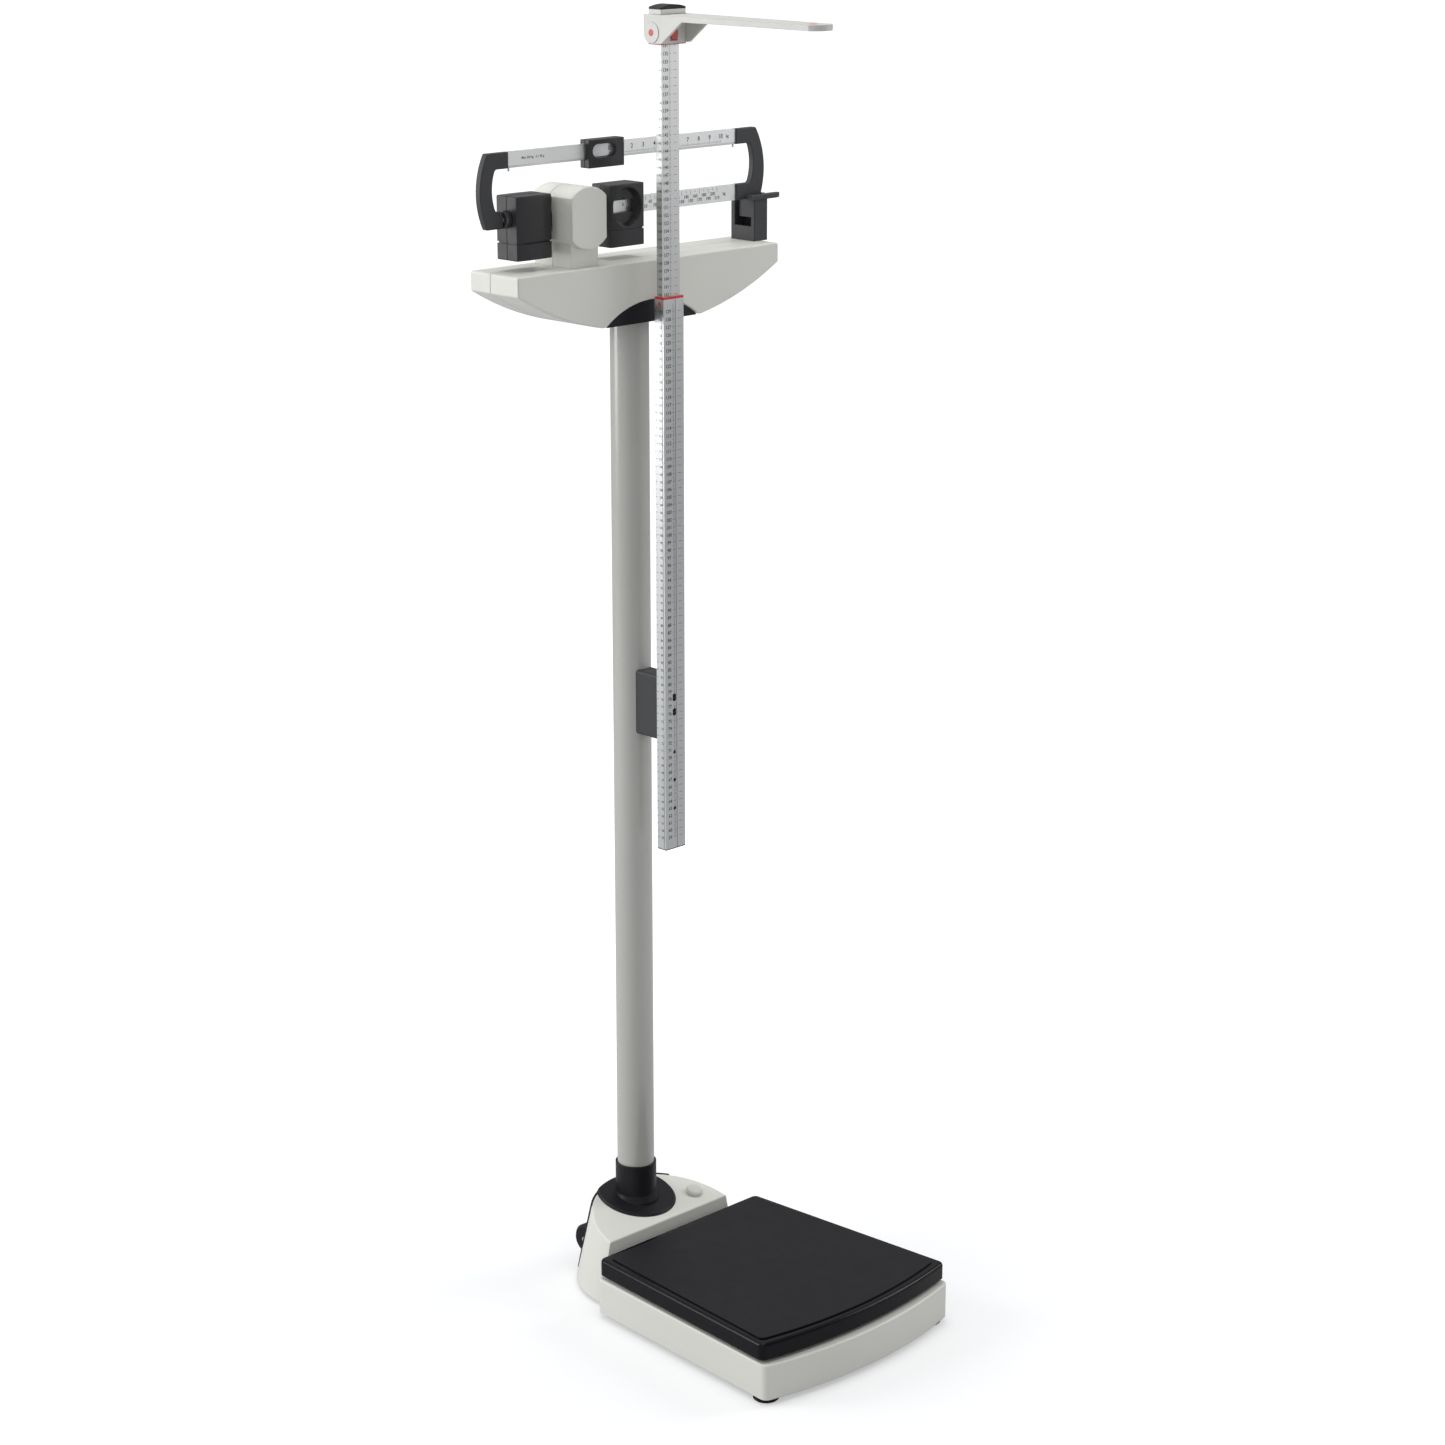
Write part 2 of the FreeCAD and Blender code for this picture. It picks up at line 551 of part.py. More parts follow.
def build_head_inside():
    ring = cylinder("head_ring", "Z", ("0", "0"), "column_radius + 5", ("1346", "head_plate_low + 1"))
    plate = box("head_plate", ("-190", "190"), ("-30", "30"),
                ("head_plate_low", "head_plate_low + head_plate_thick"))
    bore = cylinder("head_ring_bore", "Z", ("0", "0"), "column_radius + 0.1", ("1340", "column_high"))
    hole = box("head_rod_hole", ("-8", "8"), ("-12", "12"), ("1360", "1390"))
    node(cut("head_frame", union("head_frame_whole", ring, plate), bore, hole))
    bar = box("transfer_bar", ("-184", "8"), ("-5", "5"), ("1388", "1396"))
    pin = cylinder("transfer_pin", "Y", ("-180", "1392"), "knife_radius", ("-14", "14"))
    node(union("transfer_lever", bar, pin))
    strips = sides("link_strip", lambda label, at, side: box(
        label, ("tower_place - load_offset - 4", "tower_place - load_offset + 4"), (f"{at} - 1", f"{at} + 1"),
        ("1380.5", "fulcrum_high + 6")), "9")
    foot = box("link_foot", ("tower_place - load_offset - 4", "tower_place - load_offset + 4"), ("-10", "10"),
               ("1381.6", "1387.6"))
    eye = cylinder("link_eye", "Y", ("tower_place - load_offset", "fulcrum_high"), "2.5 + run_gap",
                   ("-12", "12"))
    node(cut("beam_link", union("link_whole", foot, *strips), eye))


# ---------------------------------------------------------------- head housing
def boat(inset="0"):
    """The housing's side outline: flat top, curved keel on each side and an arch between them."""
    end, top = f"head_half - ({inset})", f"head_high - ({inset})"
    low, keel, foot = f"head_end_low + ({inset})", f"keel_low + ({inset})", f"arch_foot + ({inset})"
    arch, keel_end = f"arch_half + ({inset})", f"keel_half + ({inset})"
    return [(f"-({end})", top), (f"-({end})", low, "keel_curve", -1), (f"-({keel_end})", keel),
            (f"-({arch})", foot, "arch_curve", 1), (arch, foot), (keel_end, keel, "keel_curve", -1),
            (end, low), (end, top)]


def build_housing():
    for label, front, back in (("head_front_shell", "-head_deep", "head_seam - split_gap / 2"),
                               ("head_rear_shell", "head_seam + split_gap / 2", "head_deep")):
        outside = rounded(prism(label + "_outside", "XZ", boat(), (front, back)), "head_round",
                          lambda middle, along: abs(along.y) > 0.9 and abs(middle.x) > value("head_half - 1"))
        face = value(front) if label == "head_front_shell" else value(back)
        rounded(outside, "2", lambda middle, along: abs(middle.y - face) < 0.01)
        inner_front = f"{front} + shell" if label == "head_front_shell" else f"{front} - 1"
        inner_back = f"{back} + 1" if label == "head_front_shell" else f"{back} - shell"
        inside = prism(label + "_inside", "XZ", boat("shell"), (inner_front, inner_back))
        hole = box(label + "_stem", *[("tower_place - stem_half + 3", "tower_place + stem_half - 3"),
                                      ("-(stem_deep - 3)", "stem_deep - 3"), ("1400", "1412")])
        collar = cylinder(label + "_collar", "Z", ("0", "0"), "column_radius + 6", ("1320", "1370"))
        screws = [cylinder(f"{label}_screw_{index}", "Y", at, "2", ("20", "head_deep + 1"))
                  for index, at in enumerate(shell_spots())]
        node(cut(label, outside, inside, hole, collar, *screws))


def build_bottom_cover():
    outline = [("-(arch_half - 2)", "arch_foot - 1"), ("arch_half - 2", "arch_foot - 1"),
               ("arch_half - 2", "arch_foot + 0.6", "arch_curve + 1", -1),
               ("-(arch_half - 2)", "arch_foot + 0.6")]
    block = prism("cover_block", "XZ", outline, ("-(head_deep - 2)", "head_deep - 2"))
    bore = cylinder("cover_bore", "Z", ("0", "0"), "column_radius + 5.3", ("1320", "1362"))
    lip = cylinder("cover_lip", "Z", ("0", "0"), "column_radius + 5.6", ("arch_foot - 1", "arch_foot + 2"))
    lip_bore = cylinder("cover_lip_bore", "Z", ("0", "0"), "column_radius + 0.1", ("1320", "1340"))
    node(cut("head_bottom_cover", union("cover_whole", cut("cover_bored", block, bore), lip), lip_bore))


# ---------------------------------------------------------------- tower
def drum(inset="0"):
    """A round drum end clipped by two flat sides."""
    radius, half = f"(tower_radius - ({inset}))", f"(tower_half - ({inset}))"
    rise = f"sqrt({radius}^2 - {half}^2)"
    left, right = f"tower_place - {half}", f"tower_place + {half}"
    low, high = f"tower_centre - {rise}", f"tower_centre + {rise}"
    return [(left, high), (left, low, radius, -1), (right, low), (right, high, radius, -1)]


def build_tower():
    for label, front, back, stem_front, stem_back in (
            ("tower_front_shell", "-tower_deep", "-split_gap / 2", "-stem_deep", "-split_gap / 2"),
            ("tower_rear_shell", "split_gap / 2", "tower_deep", "split_gap / 2", "stem_deep")):
        facing = label == "tower_front_shell"
        barrel = prism(label + "_barrel", "XZ", drum(), (front, back))
        if not facing:
            rounded(barrel, "14", lambda middle, along: abs(middle.y - value("tower_deep")) < 0.01)
        stem = box(label + "_stem", ("tower_place - stem_half", "tower_place + stem_half"),
                   (stem_front, stem_back), ("head_high", "tower_centre - 24"))
        hollow_back = f"{back} + 1" if facing else f"{back} - tower_wall"
        hollow = prism(label + "_hollow", "XZ", drum("tower_wall"), (f"{front} - 1", hollow_back))
        throat = box(label + "_throat",
                     ("tower_place - stem_half + tower_wall", "tower_place + stem_half - tower_wall"),
                     (f"{stem_front} + tower_wall" if facing else f"{stem_front} - 1",
                      f"{stem_back} + 1" if facing else f"{stem_back} - tower_wall"),
                     ("head_high - 1", "tower_centre - 20"))
        beam_way = box(label + "_beam_way", ("tower_place - 40", "tower_place + 40"), ("-6.5", "6.5"),
                       ("1452", "1495"))
        node(cut(label, union(label + "_whole", barrel, stem), hollow, throat, beam_way))
    cap = prism("tower_cap", "XZ", drum(), ("-(tower_deep + cap_thick)", "-(tower_deep + 0.15)"))
    node(rounded(cap, "1", lambda middle, along: middle.y < -value("tower_deep + cap_thick") + 0.01))


# ---------------------------------------------------------------- beam
def build_bars():
    upper = prism("upper_bar_blank", "YZ", [
        ("-bar_half", "upper_low + 3"), ("-bar_half + 1", "upper_low"), ("bar_half - 1", "upper_low"),
        ("bar_half", "upper_low + 3"), ("bar_half", "upper_high"), ("-bar_half", "upper_high")],
        ("left_joint", "right_joint"))
    lower = prism("lower_bar", "YZ", [
        ("-bar_half", "lower_low"), ("bar_half", "lower_low"), ("bar_half", "lower_high"),
        ("-bar_half", "lower_high")], ("tower_place + hub_half", "right_joint"))
    node(lower)

    def rods(label):
        return [cylinder(f"{label}_{name}", "Z", (x, "0"), "1.5", ("upper_low - 4", "upper_low + 6"))
                for name, x in (("left", "left_joint + 3"), ("right", "right_joint - 3"))]

    node(cut("upper_bar", upper, *rods("stop_hole")))
    node(group("stop_pins", *rods("stop_pin")))


def bracket_outline(side, joint, arm_end):
    """A C-shaped end bracket, from its joint with the bars out to its bowed back."""
    turn = 1 if side > 0 else -1
    def at(x):
        return f"{side} * ({x})"
    outer_top, outer_low, inner = "226", "234", "216"
    if side < 0:
        outer_top, outer_low, inner = "239", "241", "226"
    return [(joint, "upper_high"), (joint, "upper_low"), (at(inner), "upper_low", "64", turn),
            (at(inner), "lower_high"), (arm_end, "lower_high"), (arm_end, "lower_low"),
            (at(outer_low), "lower_low", "100", -turn), (at(outer_top), "upper_high")]


def rounded_bracket(label, side, joint, arm_end):
    bracket = prism(label, "XZ", bracket_outline(side, joint, arm_end), ("-bracket_half", "bracket_half"))
    reach = max(abs(value(joint)), abs(value(arm_end))) + 5

    def inner(middle, along):
        return abs(along.y) > 0.9 and reach < abs(middle.x) and 1480 < middle.z < 1540

    def outer(middle, along):
        return abs(along.y) > 0.9 and reach < abs(middle.x) and not 1480 < middle.z < 1540

    rounded(bracket, "5", inner)
    rounded(bracket, "2.5", outer)
    return rounded(bracket, "1.2", lambda middle, along: abs(along.y) < 0.1)


def build_brackets():
    node(rounded_bracket("left_bracket", -1, "left_joint", "weight_left - nut_long - 1.5"))
    right = rounded_bracket("right_bracket_frame", 1, "right_joint", "right_joint")
    neck = box("flag_neck", ("post_left + 6", "post_left + 10"), ("-3", "3"),
               ("flag_low + 10", "lower_low + 4"))
    flag = box("flag_plate", ("post_left + 6", "post_left + 10"), ("-5.2", "18.5"),
               ("flag_low", "lower_low - 2.5"))
    node(union("right_bracket", right, neck, flag))


def build_hub():
    block = box("hub_block", ("tower_place - hub_half", "tower_place + hub_half"),
                ("-hub_deep", "hub_deep"), ("1455", "1492"))
    holes = [cylinder("hub_main_hole", "Y", ("tower_place", "fulcrum_high"), "knife_radius", ("-8", "8")),
             cylinder("hub_load_hole", "Y", ("tower_place - load_offset", "fulcrum_high"), "2.5",
                      ("-8", "8"))]
    node(cut("beam_hub", block, *holes))
    main = cylinder("main_knife", "Y", ("tower_place", "fulcrum_high"), "knife_radius", ("-21", "21"))
    load = cylinder("load_knife", "Y", ("tower_place - load_offset", "fulcrum_high"), "2.5",
                    ("-11", "11"))
    node(group("beam_knives", main, load))


def build_balance():
    spindle = cylinder("balance_spindle", "X", ("0", "spindle_high"), "spindle_radius",
                       ("weight_left - nut_long - 1.5", "tower_place - hub_half"))
    node(spindle)
    nut = cylinder("nut_blank", "X", ("0", "spindle_high"), "nut_radius",
                   ("weight_left - nut_long - 0.5", "weight_left - 0.5"))
    bore = cylinder("nut_bore", "X", ("0", "spindle_high"), "spindle_radius + run_gap",
                    ("weight_left - nut_long - 3", "weight_left + 3"))
    grooves = []
    count = 24
    for index in range(count):
        angle = 2 * math.pi * index / count
        grooves.append(cylinder(f"nut_groove_{index}", "X",
                                (f"nut_radius * {math.cos(angle):.5f}",
                                 f"spindle_high + nut_radius * {math.sin(angle):.5f}"),
                                "0.8", ("weight_left - nut_long - 3", "weight_left + 3")))
    node(cut("balance_nut", nut, bore, *grooves))


def weight_half(label, facing):
    """Half of the counterweight block, with a bowed face and a groove round it."""
    near = "split_gap / 2"
    deep = "weight_deep - 1.6"
    left, right = "weight_left", "weight_right"
    if facing:
        plan = [(left, f"-{near}"), (left, f"-({deep})", "240", -1), (right, f"-({deep})"),
                (right, f"-{near}")]
    else:
        plan = [(left, f"{near}"), (right, f"{near}"), (right, deep, "240", -1), (left, deep)]
    block = rounded(prism(label + "_block", "XY", plan, ("weight_low", "weight_high")), "1.5",
                    lambda middle, along: abs(middle.z - value("weight_high")) < 0.01
                    or abs(middle.z - value("weight_low")) < 0.01)
    bore = cylinder(label + "_bore", "X", ("0", "spindle_high"), "spindle_radius + run_gap",
                    ("weight_left - 5", "weight_right + 5"))
    band = box(label + "_band", ("weight_left - 5", "weight_right + 5"),
               ("-weight_deep - 5", "weight_deep + 5"), ("groove_low", "groove_low + groove_wide"))
    core = box(label + "_band_core", ("weight_left + groove_deep", "weight_right - groove_deep"),
               ("-(weight_deep - 1.6 - groove_deep)", "weight_deep - 1.6 - groove_deep"), ("1430", "1460"))
    node(cut(label, block, bore, cut(label + "_groove", band, core)))


# ---------------------------------------------------------------- poises
def way_for_bar(label, low, high, left, long):
    gap = "slide_gap"
    return box(label, (f"{left} - 5", f"{left} + {long} + 5"), (f"-(bar_half + {gap})", f"bar_half + {gap}"),
               (f"{low} - {gap}", f"{high} + {gap}"))


def poise_half(label, part, facing, low_bar, high_bar):
    near, deep = "split_gap / 2", f"{part}_deep"
    left, right = f"{part}_left", f"{part}_left + {part}_long"
    span = (f"-{deep}", f"-{near}") if facing else (near, deep)
    block = prism(label + "_block", "XZ", rectangle((left, right), (f"{part}_low", f"{part}_high")), span)
    outer = -value(deep) if facing else value(deep)
    rounded(block, "1.2", lambda middle, along: abs(middle.y - outer) < 0.01 or abs(along.y) > 0.9)
    return block, way_for_bar(label + "_way", low_bar, high_bar, left, f"{part}_long")


def build_poises():
    for label, facing in (("lower_poise_front", True), ("lower_poise_rear", False)):
        block, way = poise_half(label, "poise", facing, "lower_low", "lower_high")
        band = box(label + "_band", ("poise_left - 5", "poise_left + poise_long + 5"), ("-30", "30"),
                   ("groove_low + 1.5", "groove_low + 1.5 + groove_wide"))
        core = box(label + "_band_core", ("poise_left + groove_deep", "poise_left + poise_long - groove_deep"),
                   ("-(poise_deep - groove_deep)", "poise_deep - groove_deep"), ("1430", "1460"))
        tools = [way, cut(label + "_groove", band, core)]
        if facing:
            tools.append(cone_dial(label))
            tools.append(box("dial_window", ("dial_place - 17", "dial_place + 19"), ("-12", "0"),
                             ("lower_low + 3", "lower_high - 2")))
            tools.append(cylinder("dial_mark", "Y", ("dial_place + 1", "lower_high - 1"), "2", ("-12", "0")))
        node(cut(label, block, *tools))
    for label, facing in (("upper_poise_front", True), ("upper_poise_rear", False)):
        block, way = poise_half(label, "light", facing, "upper_low", "upper_high")
        tools = [way]
        if facing:
            half = "8.6"
            middle = "1546.5"
            left, right = "light_left + 15", "light_left + 38.5"
            tools.append(box("light_window", (left, right), ("-12", "0"),
                             (f"{middle} - {half}", f"{middle} + {half}")))
            tools.append(cylinder("light_window_left", "Y", (left, middle), half, ("-12", "0")))
            tools.append(cylinder("light_window_right", "Y", (right, middle), half, ("-12", "0")))
        node(cut(label, block, *tools))


def cone_dial(label):
    """The round dished recess in the lower poise, as a frustum that narrows to its floor."""
    item = doc.addObject("Part::Cone", label + "_dial")
    bind(item, Radius1="dial_radius", Radius2="dial_radius - 4", Height="dial_floor + poise_deep")
    return on_axis(item, "Y", ("dial_place", "dial_high"), "-poise_deep")


# ---------------------------------------------------------------- pointer post and arrest lever
def build_post():
    right = "post_left + post_wide"
    outside = rounded(prism("post_outside", "XY", rectangle(("post_left", right), ("post_front", "post_back")),
                            ("head_high", "post_high")), "1.5", upright)
    inside = box("post_inside", ("post_left + post_wall", f"{right} - post_wall"),
                 ("post_front + post_wall", "post_back - post_wall"), ("head_high + 3", "post_high + 1"))
    notch = box("post_notch", (f"{right} - post_wall - 1", f"{right} + 1"), ("-7", "7"),
                ("post_high - 9", "post_high + 1"))
    window = box("post_window", ("post_left - 1", "post_left + post_wall + 1"), ("-10", "21"),
                 ("1427", "post_high + 1"))
    boss = box("post_boss", ("pivot_place - 4", f"{right} - 1"), ("post_front + 1", "pivot_front + 4"),
               ("head_high + 1", "post_high"))
    hole = cylinder("post_pivot_hole", "Z", ("pivot_place", "pivot_front"), "pivot_radius",
                    ("post_high - 12", "post_high + 1"))
    hollow = cut("post_hollow", outside, inside, window, notch)
    node(cut("pointer_post", union("post_whole", hollow, boss), hole))
    plan = [("post_left - 8", "post_front - 3"), ("post_left + 42", "post_front - 1"),
            ("post_left + 50", "post_front + 3"), ("post_left + 48", "post_front + 8"),
            ("post_left - 8", "post_front + 8")]
    plate = prism("arrest_plate", "XY", plan, ("post_high + 0.4", "post_high + 0.4 + plate_thick"))
    rounded(plate, "1.2", lambda middle, along: middle.z > value("post_high + plate_thick"))
    eye = cylinder("arrest_eye", "Z", ("pivot_place", "pivot_front"), "pivot_radius + run_gap",
                   ("post_high - 1", "post_high + plate_thick + 2"))
    node(cut("arrest_lever", plate, eye))


# ---------------------------------------------------------------- height rod
def build_rod():
    section = rectangle(("-rod_half", "rod_half"), ("rod_front", "rod_back"))
    way = rectangle(("-(inner_half + fit_gap)", "inner_half + fit_gap"),
                    ("inner_front - fit_gap", "inner_back + fit_gap"))
    outer = prism("outer_rod_blank", "XY", section, ("rod_low", "rod_high"), way)
    groove = box("outer_rod_groove", ("2.2", "3.4"), ("rod_front - 1", "rod_front + 1"),
                 ("rod_low - 1", "rod_high + 1"))
    side_groove = box("outer_rod_side_groove", ("-rod_half - 1", "-rod_half + 0.8"),
                      ("rod_front + 2.6", "rod_front + 3.4"), ("rod_low - 1", "rod_high + 1"))
    front_wall = ("rod_front - 1", "inner_front + 1")
    holes = [cylinder(f"outer_rod_hole_{index}", "Y", ("-1.3", high), "2.4", front_wall)
             for index, high in enumerate(("686", "725", "763"))]
    holes += [cylinder(f"outer_rod_keyhole_{index}", "Y", ("-1.3", high), "3.2", front_wall)
              for index, high in enumerate(("816", "820", "836", "840"))]
    node(cut("outer_rod", outer, groove, side_groove, *holes))
    ring = prism("rod_stop_ring", "XY", section, ("rod_high", "rod_high + 3"), way)
    node(ring)
    plug = union("rod_bottom_plug",
                 box("plug_foot", ("-rod_half", "rod_half"), ("rod_front", "rod_back"),
                     ("rod_low - 1.2", "rod_low")),
                 box("plug_core", ("-(inner_half - 0.2)", "inner_half - 0.2"),
                     ("inner_front + 0.2", "inner_back - 0.2"), ("rod_low", "rod_low + 7")))
    node(plug)
    inner = box("inner_rod_blank", ("-inner_half", "inner_half"), ("inner_front", "inner_back"),
                ("inner_low", "inner_high - 4"))
    inner_hollow = box("inner_rod_hollow", ("-(inner_half - 1.6)", "inner_half - 1.6"),
                       ("inner_front + 1.6", "inner_back - 1.6"), ("inner_low - 1", "inner_high - 10"))
    node(cut("inner_rod", inner, inner_hollow))


def build_rod_bracket():
    block = prism("rod_bracket_block", "XZ",
                  rectangle(("-rod_bracket_half", "rod_bracket_half"), ("bracket_low", "bracket_high")),
                  ("rod_back", "-14"))
    rounded(block, "4", lambda middle, along: abs(along.y) > 0.9)
    saddle = cylinder("rod_bracket_saddle", "Z", ("0", "0"), "column_radius",
                      ("bracket_low - 1", "bracket_high + 1"))
    screws = [cylinder(f"rod_bracket_hole_{index}", "X", ("-46", at), "2.5",
                       ("-8", "rod_bracket_half + 1"))
              for index, at in enumerate(("bracket_low + 18", "bracket_high - 18"))]
    node(cut("rod_bracket", block, saddle, *screws))


def build_slider():
    ring = rectangle(("-slider_half", "slider_half"), ("slider_front", "slider_back"))
    way = rectangle(("-(rod_half + 0.2)", "rod_half + 0.2"), ("rod_front - 0.2", "rod_back + 0.2"))
    body = rounded(prism("slider_body", "XY", ring, ("slider_low", "slider_high"), way), "1",
                   lambda middle, along: abs(along.z) > 0.9 and abs(middle.x) > 20)
    seat = box("slider_button_seat", ("-7", "7"), ("slider_front - 1", "slider_front + 3"),
               ("1683.5", "1704"))
    spans = {1: ("slider_half - 4.5", "slider_half + 1"), -1: ("-(slider_half + 1)", "-(slider_half - 4.5)")}
    pins = sides("slider_pin_hole", lambda label, at, side: cylinder(
        label, "X", ("hinge_back", "hinge_high"), "4", spans[side]), "20")
    node(cut("head_slider", body, seat, *pins))
    deep = ("slider_front - 1.4", "slider_front + 0.6")
    round_end = cylinder("button_round", "Y", ("0", "1690.7"), "6.5", deep)
    point = prism("button_point", "XZ",
                  [("-6.2", "1692.6"), ("6.2", "1692.6"), ("4.6", "1702.4"), ("1.6", "1703.4")], deep)
    node(union("release_button", round_end, point))

    def hinge_pin(label, at, side):
        near, far = "slider_half - 3.6", "slider_half + cheek_gap + cheek_thick + 1.4"
        span = (near, far) if side > 0 else (f"-({far})", f"-({near})")
        return cylinder(label, "X", ("hinge_back", "hinge_high"), "4", span)

    node(group("arm_hinge_pins", *sides("hinge_pin", hinge_pin, "20")))
    block = rounded(prism("stop_block", "XY", ring, ("slider_high + 1", "inner_high")), "1", upright)
    socket = box("stop_block_socket", ("-inner_half", "inner_half"), ("inner_front", "inner_back"),
                 ("slider_high", "inner_high - 4"))
    node(cut("rod_stop_block", block, socket))
    crown = [("-slider_half", "inner_high"), ("slider_half", "inner_high"),
             ("slider_half", "inner_high + 2.2", "70", -1), ("-slider_half", "inner_high + 2.2")]
    cap = prism("rod_cap", "XZ", crown, ("slider_front", "slider_back"))
    node(rounded(cap, "1", lambda middle, along: abs(along.z) > 0.9))


def build_arm():
    inner, outer = "slider_half + cheek_gap", "slider_half + cheek_gap + cheek_thick"
    top = "slider_high + 0.8"
    plate_plan = [(f"-({outer})", "arm_root"), (f"-({outer})", "arm_root - 40"),
                  ("-20", "arm_reach + 17", "22", -1), ("20", "arm_reach + 17"),
                  (outer, "arm_root - 40"), (outer, "arm_root")]
    plate = prism("arm_plate", "XY", plate_plan, (f"{top} - arm_thick", top))

    def cheek(label, at, side):
        outline = [("hinge_back + 14", "hinge_high"), ("hinge_back + 14", top), ("arm_root - 38", top),
                   ("arm_root - 38", f"{top} - arm_thick"), ("arm_root - 2", "hinge_high - 13"),
                   ("hinge_back", "hinge_high - 14", "14", -1)]
        span = (inner, outer) if side > 0 else (f"-({outer})", f"-({inner})")
        web = prism(label, "YZ", outline, span)
        return web

    webs = sides("arm_cheek", cheek, "24")
    discs = sides("arm_disc", lambda label, at, side: cylinder(
        label, "X", ("hinge_back", "hinge_high"), "13",
        (inner, f"{outer} + 1") if side > 0 else (f"-({outer} + 1)", f"-({inner})")), "24")
    holes = sides("arm_pin_hole", lambda label, at, side: cylinder(
        label, "X", ("hinge_back", "hinge_high"), "4 + run_gap",
        (f"{inner} - 1", f"{outer} + 3") if side > 0 else (f"-({outer} + 3)", f"-({inner} - 1)")), "24")
    node(cut("measuring_arm", union("arm_whole", plate, *webs, *discs), *holes))


# ---------------------------------------------------------------- fasteners
def shell_spots():
    """Where screws hold the head's rear shell: across and up."""
    return [("-170", "1392"), ("-50", "1368"), ("50", "1368"), ("170", "1392")]


def build_screws():
    def screw(label, axis, at, radius, shank, head, head_radius):
        return union(label, cylinder(label + "_shank", axis, at, radius, shank),
                     cylinder(label + "_head", axis, at, head_radius, head))

    screws = []
    for index, z in enumerate(("bracket_low + 18", "bracket_high - 18")):
        screws.append(screw(f"rod_screw_{index}", "X", ("-46", z), "2.5", ("-8", "rod_bracket_half"),
                            ("rod_bracket_half", "rod_bracket_half + 2.4"), "4.5"))
    for index, at in enumerate(shell_spots()):
        screws.append(screw(f"shell_screw_{index}", "Y", at, "2", ("20", "head_deep"),
                            ("head_deep", "head_deep + 1.8"), "4"))
    top = "post_high + 0.6 + plate_thick"
    screws.append(screw("arrest_screw", "Z", ("pivot_place", "pivot_front"), "pivot_radius",
                        ("post_high - 12", top), (top, f"{top} + 1.6"), "3"))
    node(group("fixing_screws", *screws))


def main():
    build_skirt()
    build_tray()
    build_hood()
    build_panel()
    build_sleeve()
    build_knob()
    build_frame()
    build_feet()
    build_castors()
    build_levers()
    build_carrier()
    build_bearings()
    build_column()
    build_head_inside()
    build_housing()
    build_bottom_cover()
    build_tower()
    build_bars()
    build_brackets()
    build_hub()
    build_balance()
    weight_half("counterweight_front", True)
    weight_half("counterweight_rear", False)
    build_poises()
    build_post()
    build_rod()
    build_rod_bracket()
    build_slider()
    build_arm()
    build_screws()
    doc.recompute()

    failed = [item.Label for item in doc.Objects if "Invalid" in item.State or "Error" in item.State]
    if failed:
        raise RuntimeError(f"features failed: {failed}")
    os.makedirs("parts", exist_ok=True)
    for label, item in nodes.items():
        shape = item.Shape
        if shape.isNull() or not shape.isValid():
            raise RuntimeError(f"{label} has no valid shape")
    for label, item in nodes.items():
        item.Shape.exportStep(f"parts/{label}.step")
        print(f"{label:24s} solids {len(item.Shape.Solids)}  volume {item.Shape.Volume / 1000:9.2f} cm3")
    print(len(nodes), "nodes")


main()
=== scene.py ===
# %% [markdown]
# # A physician's beam scale
#
# This lesson dresses a finished mechanical model of a column scale: a platform with a grained mat,
# a painted column, a boat-shaped head, a two-bar beam with sliding weights and a telescopic height
# rod.  The shapes that move and carry load arrive ready, so the work here is light, surface finish
# and print.  All lengths are in metres.

# %% Load the frame
import json
import math

import bmesh
import bpy
from mathutils import Matrix, Vector


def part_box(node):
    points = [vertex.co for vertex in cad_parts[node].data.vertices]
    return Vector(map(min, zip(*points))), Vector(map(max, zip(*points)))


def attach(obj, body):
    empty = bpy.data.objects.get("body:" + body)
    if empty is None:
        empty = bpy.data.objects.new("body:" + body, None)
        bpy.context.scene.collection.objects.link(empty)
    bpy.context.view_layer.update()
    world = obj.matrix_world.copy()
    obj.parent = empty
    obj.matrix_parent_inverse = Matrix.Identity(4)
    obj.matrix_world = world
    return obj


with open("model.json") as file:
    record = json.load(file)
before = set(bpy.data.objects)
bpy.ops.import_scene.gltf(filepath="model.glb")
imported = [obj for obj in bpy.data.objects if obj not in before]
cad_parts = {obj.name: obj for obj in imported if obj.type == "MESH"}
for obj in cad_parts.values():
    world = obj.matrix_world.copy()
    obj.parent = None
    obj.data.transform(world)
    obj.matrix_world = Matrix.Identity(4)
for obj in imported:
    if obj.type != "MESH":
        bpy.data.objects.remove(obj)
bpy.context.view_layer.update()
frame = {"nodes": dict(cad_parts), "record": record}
nodes = frame["nodes"]
column_back = sum(corner.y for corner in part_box("column_tube")) / 2

# %% [markdown]
# A tall thin object looks right through a long lens: up close, the head would swell and the base
# would shrink.  The camera stands more than four metres away, a little above the top of the rod,
# and turns and tips until the whole column fits its frame.

# %% Camera
CAMERA_PLACE = Vector((-2.8732, -3.0769 + column_back, 1.9969))
CAMERA_TIP = math.radians(90 - 16.048)
CAMERA_TURN = math.radians(-44.673)

lens = bpy.data.cameras.new("long_lens")
lens.lens = 81.84
lens.sensor_width = 36
lens.clip_end = 60
camera = bpy.data.objects.new("camera", lens)
camera.location = CAMERA_PLACE
camera.rotation_euler = (CAMERA_TIP, 0, CAMERA_TURN)
bpy.context.scene.collection.objects.link(camera)
bpy.context.scene.camera = camera
print("camera", [round(value, 3) for value in camera.location])

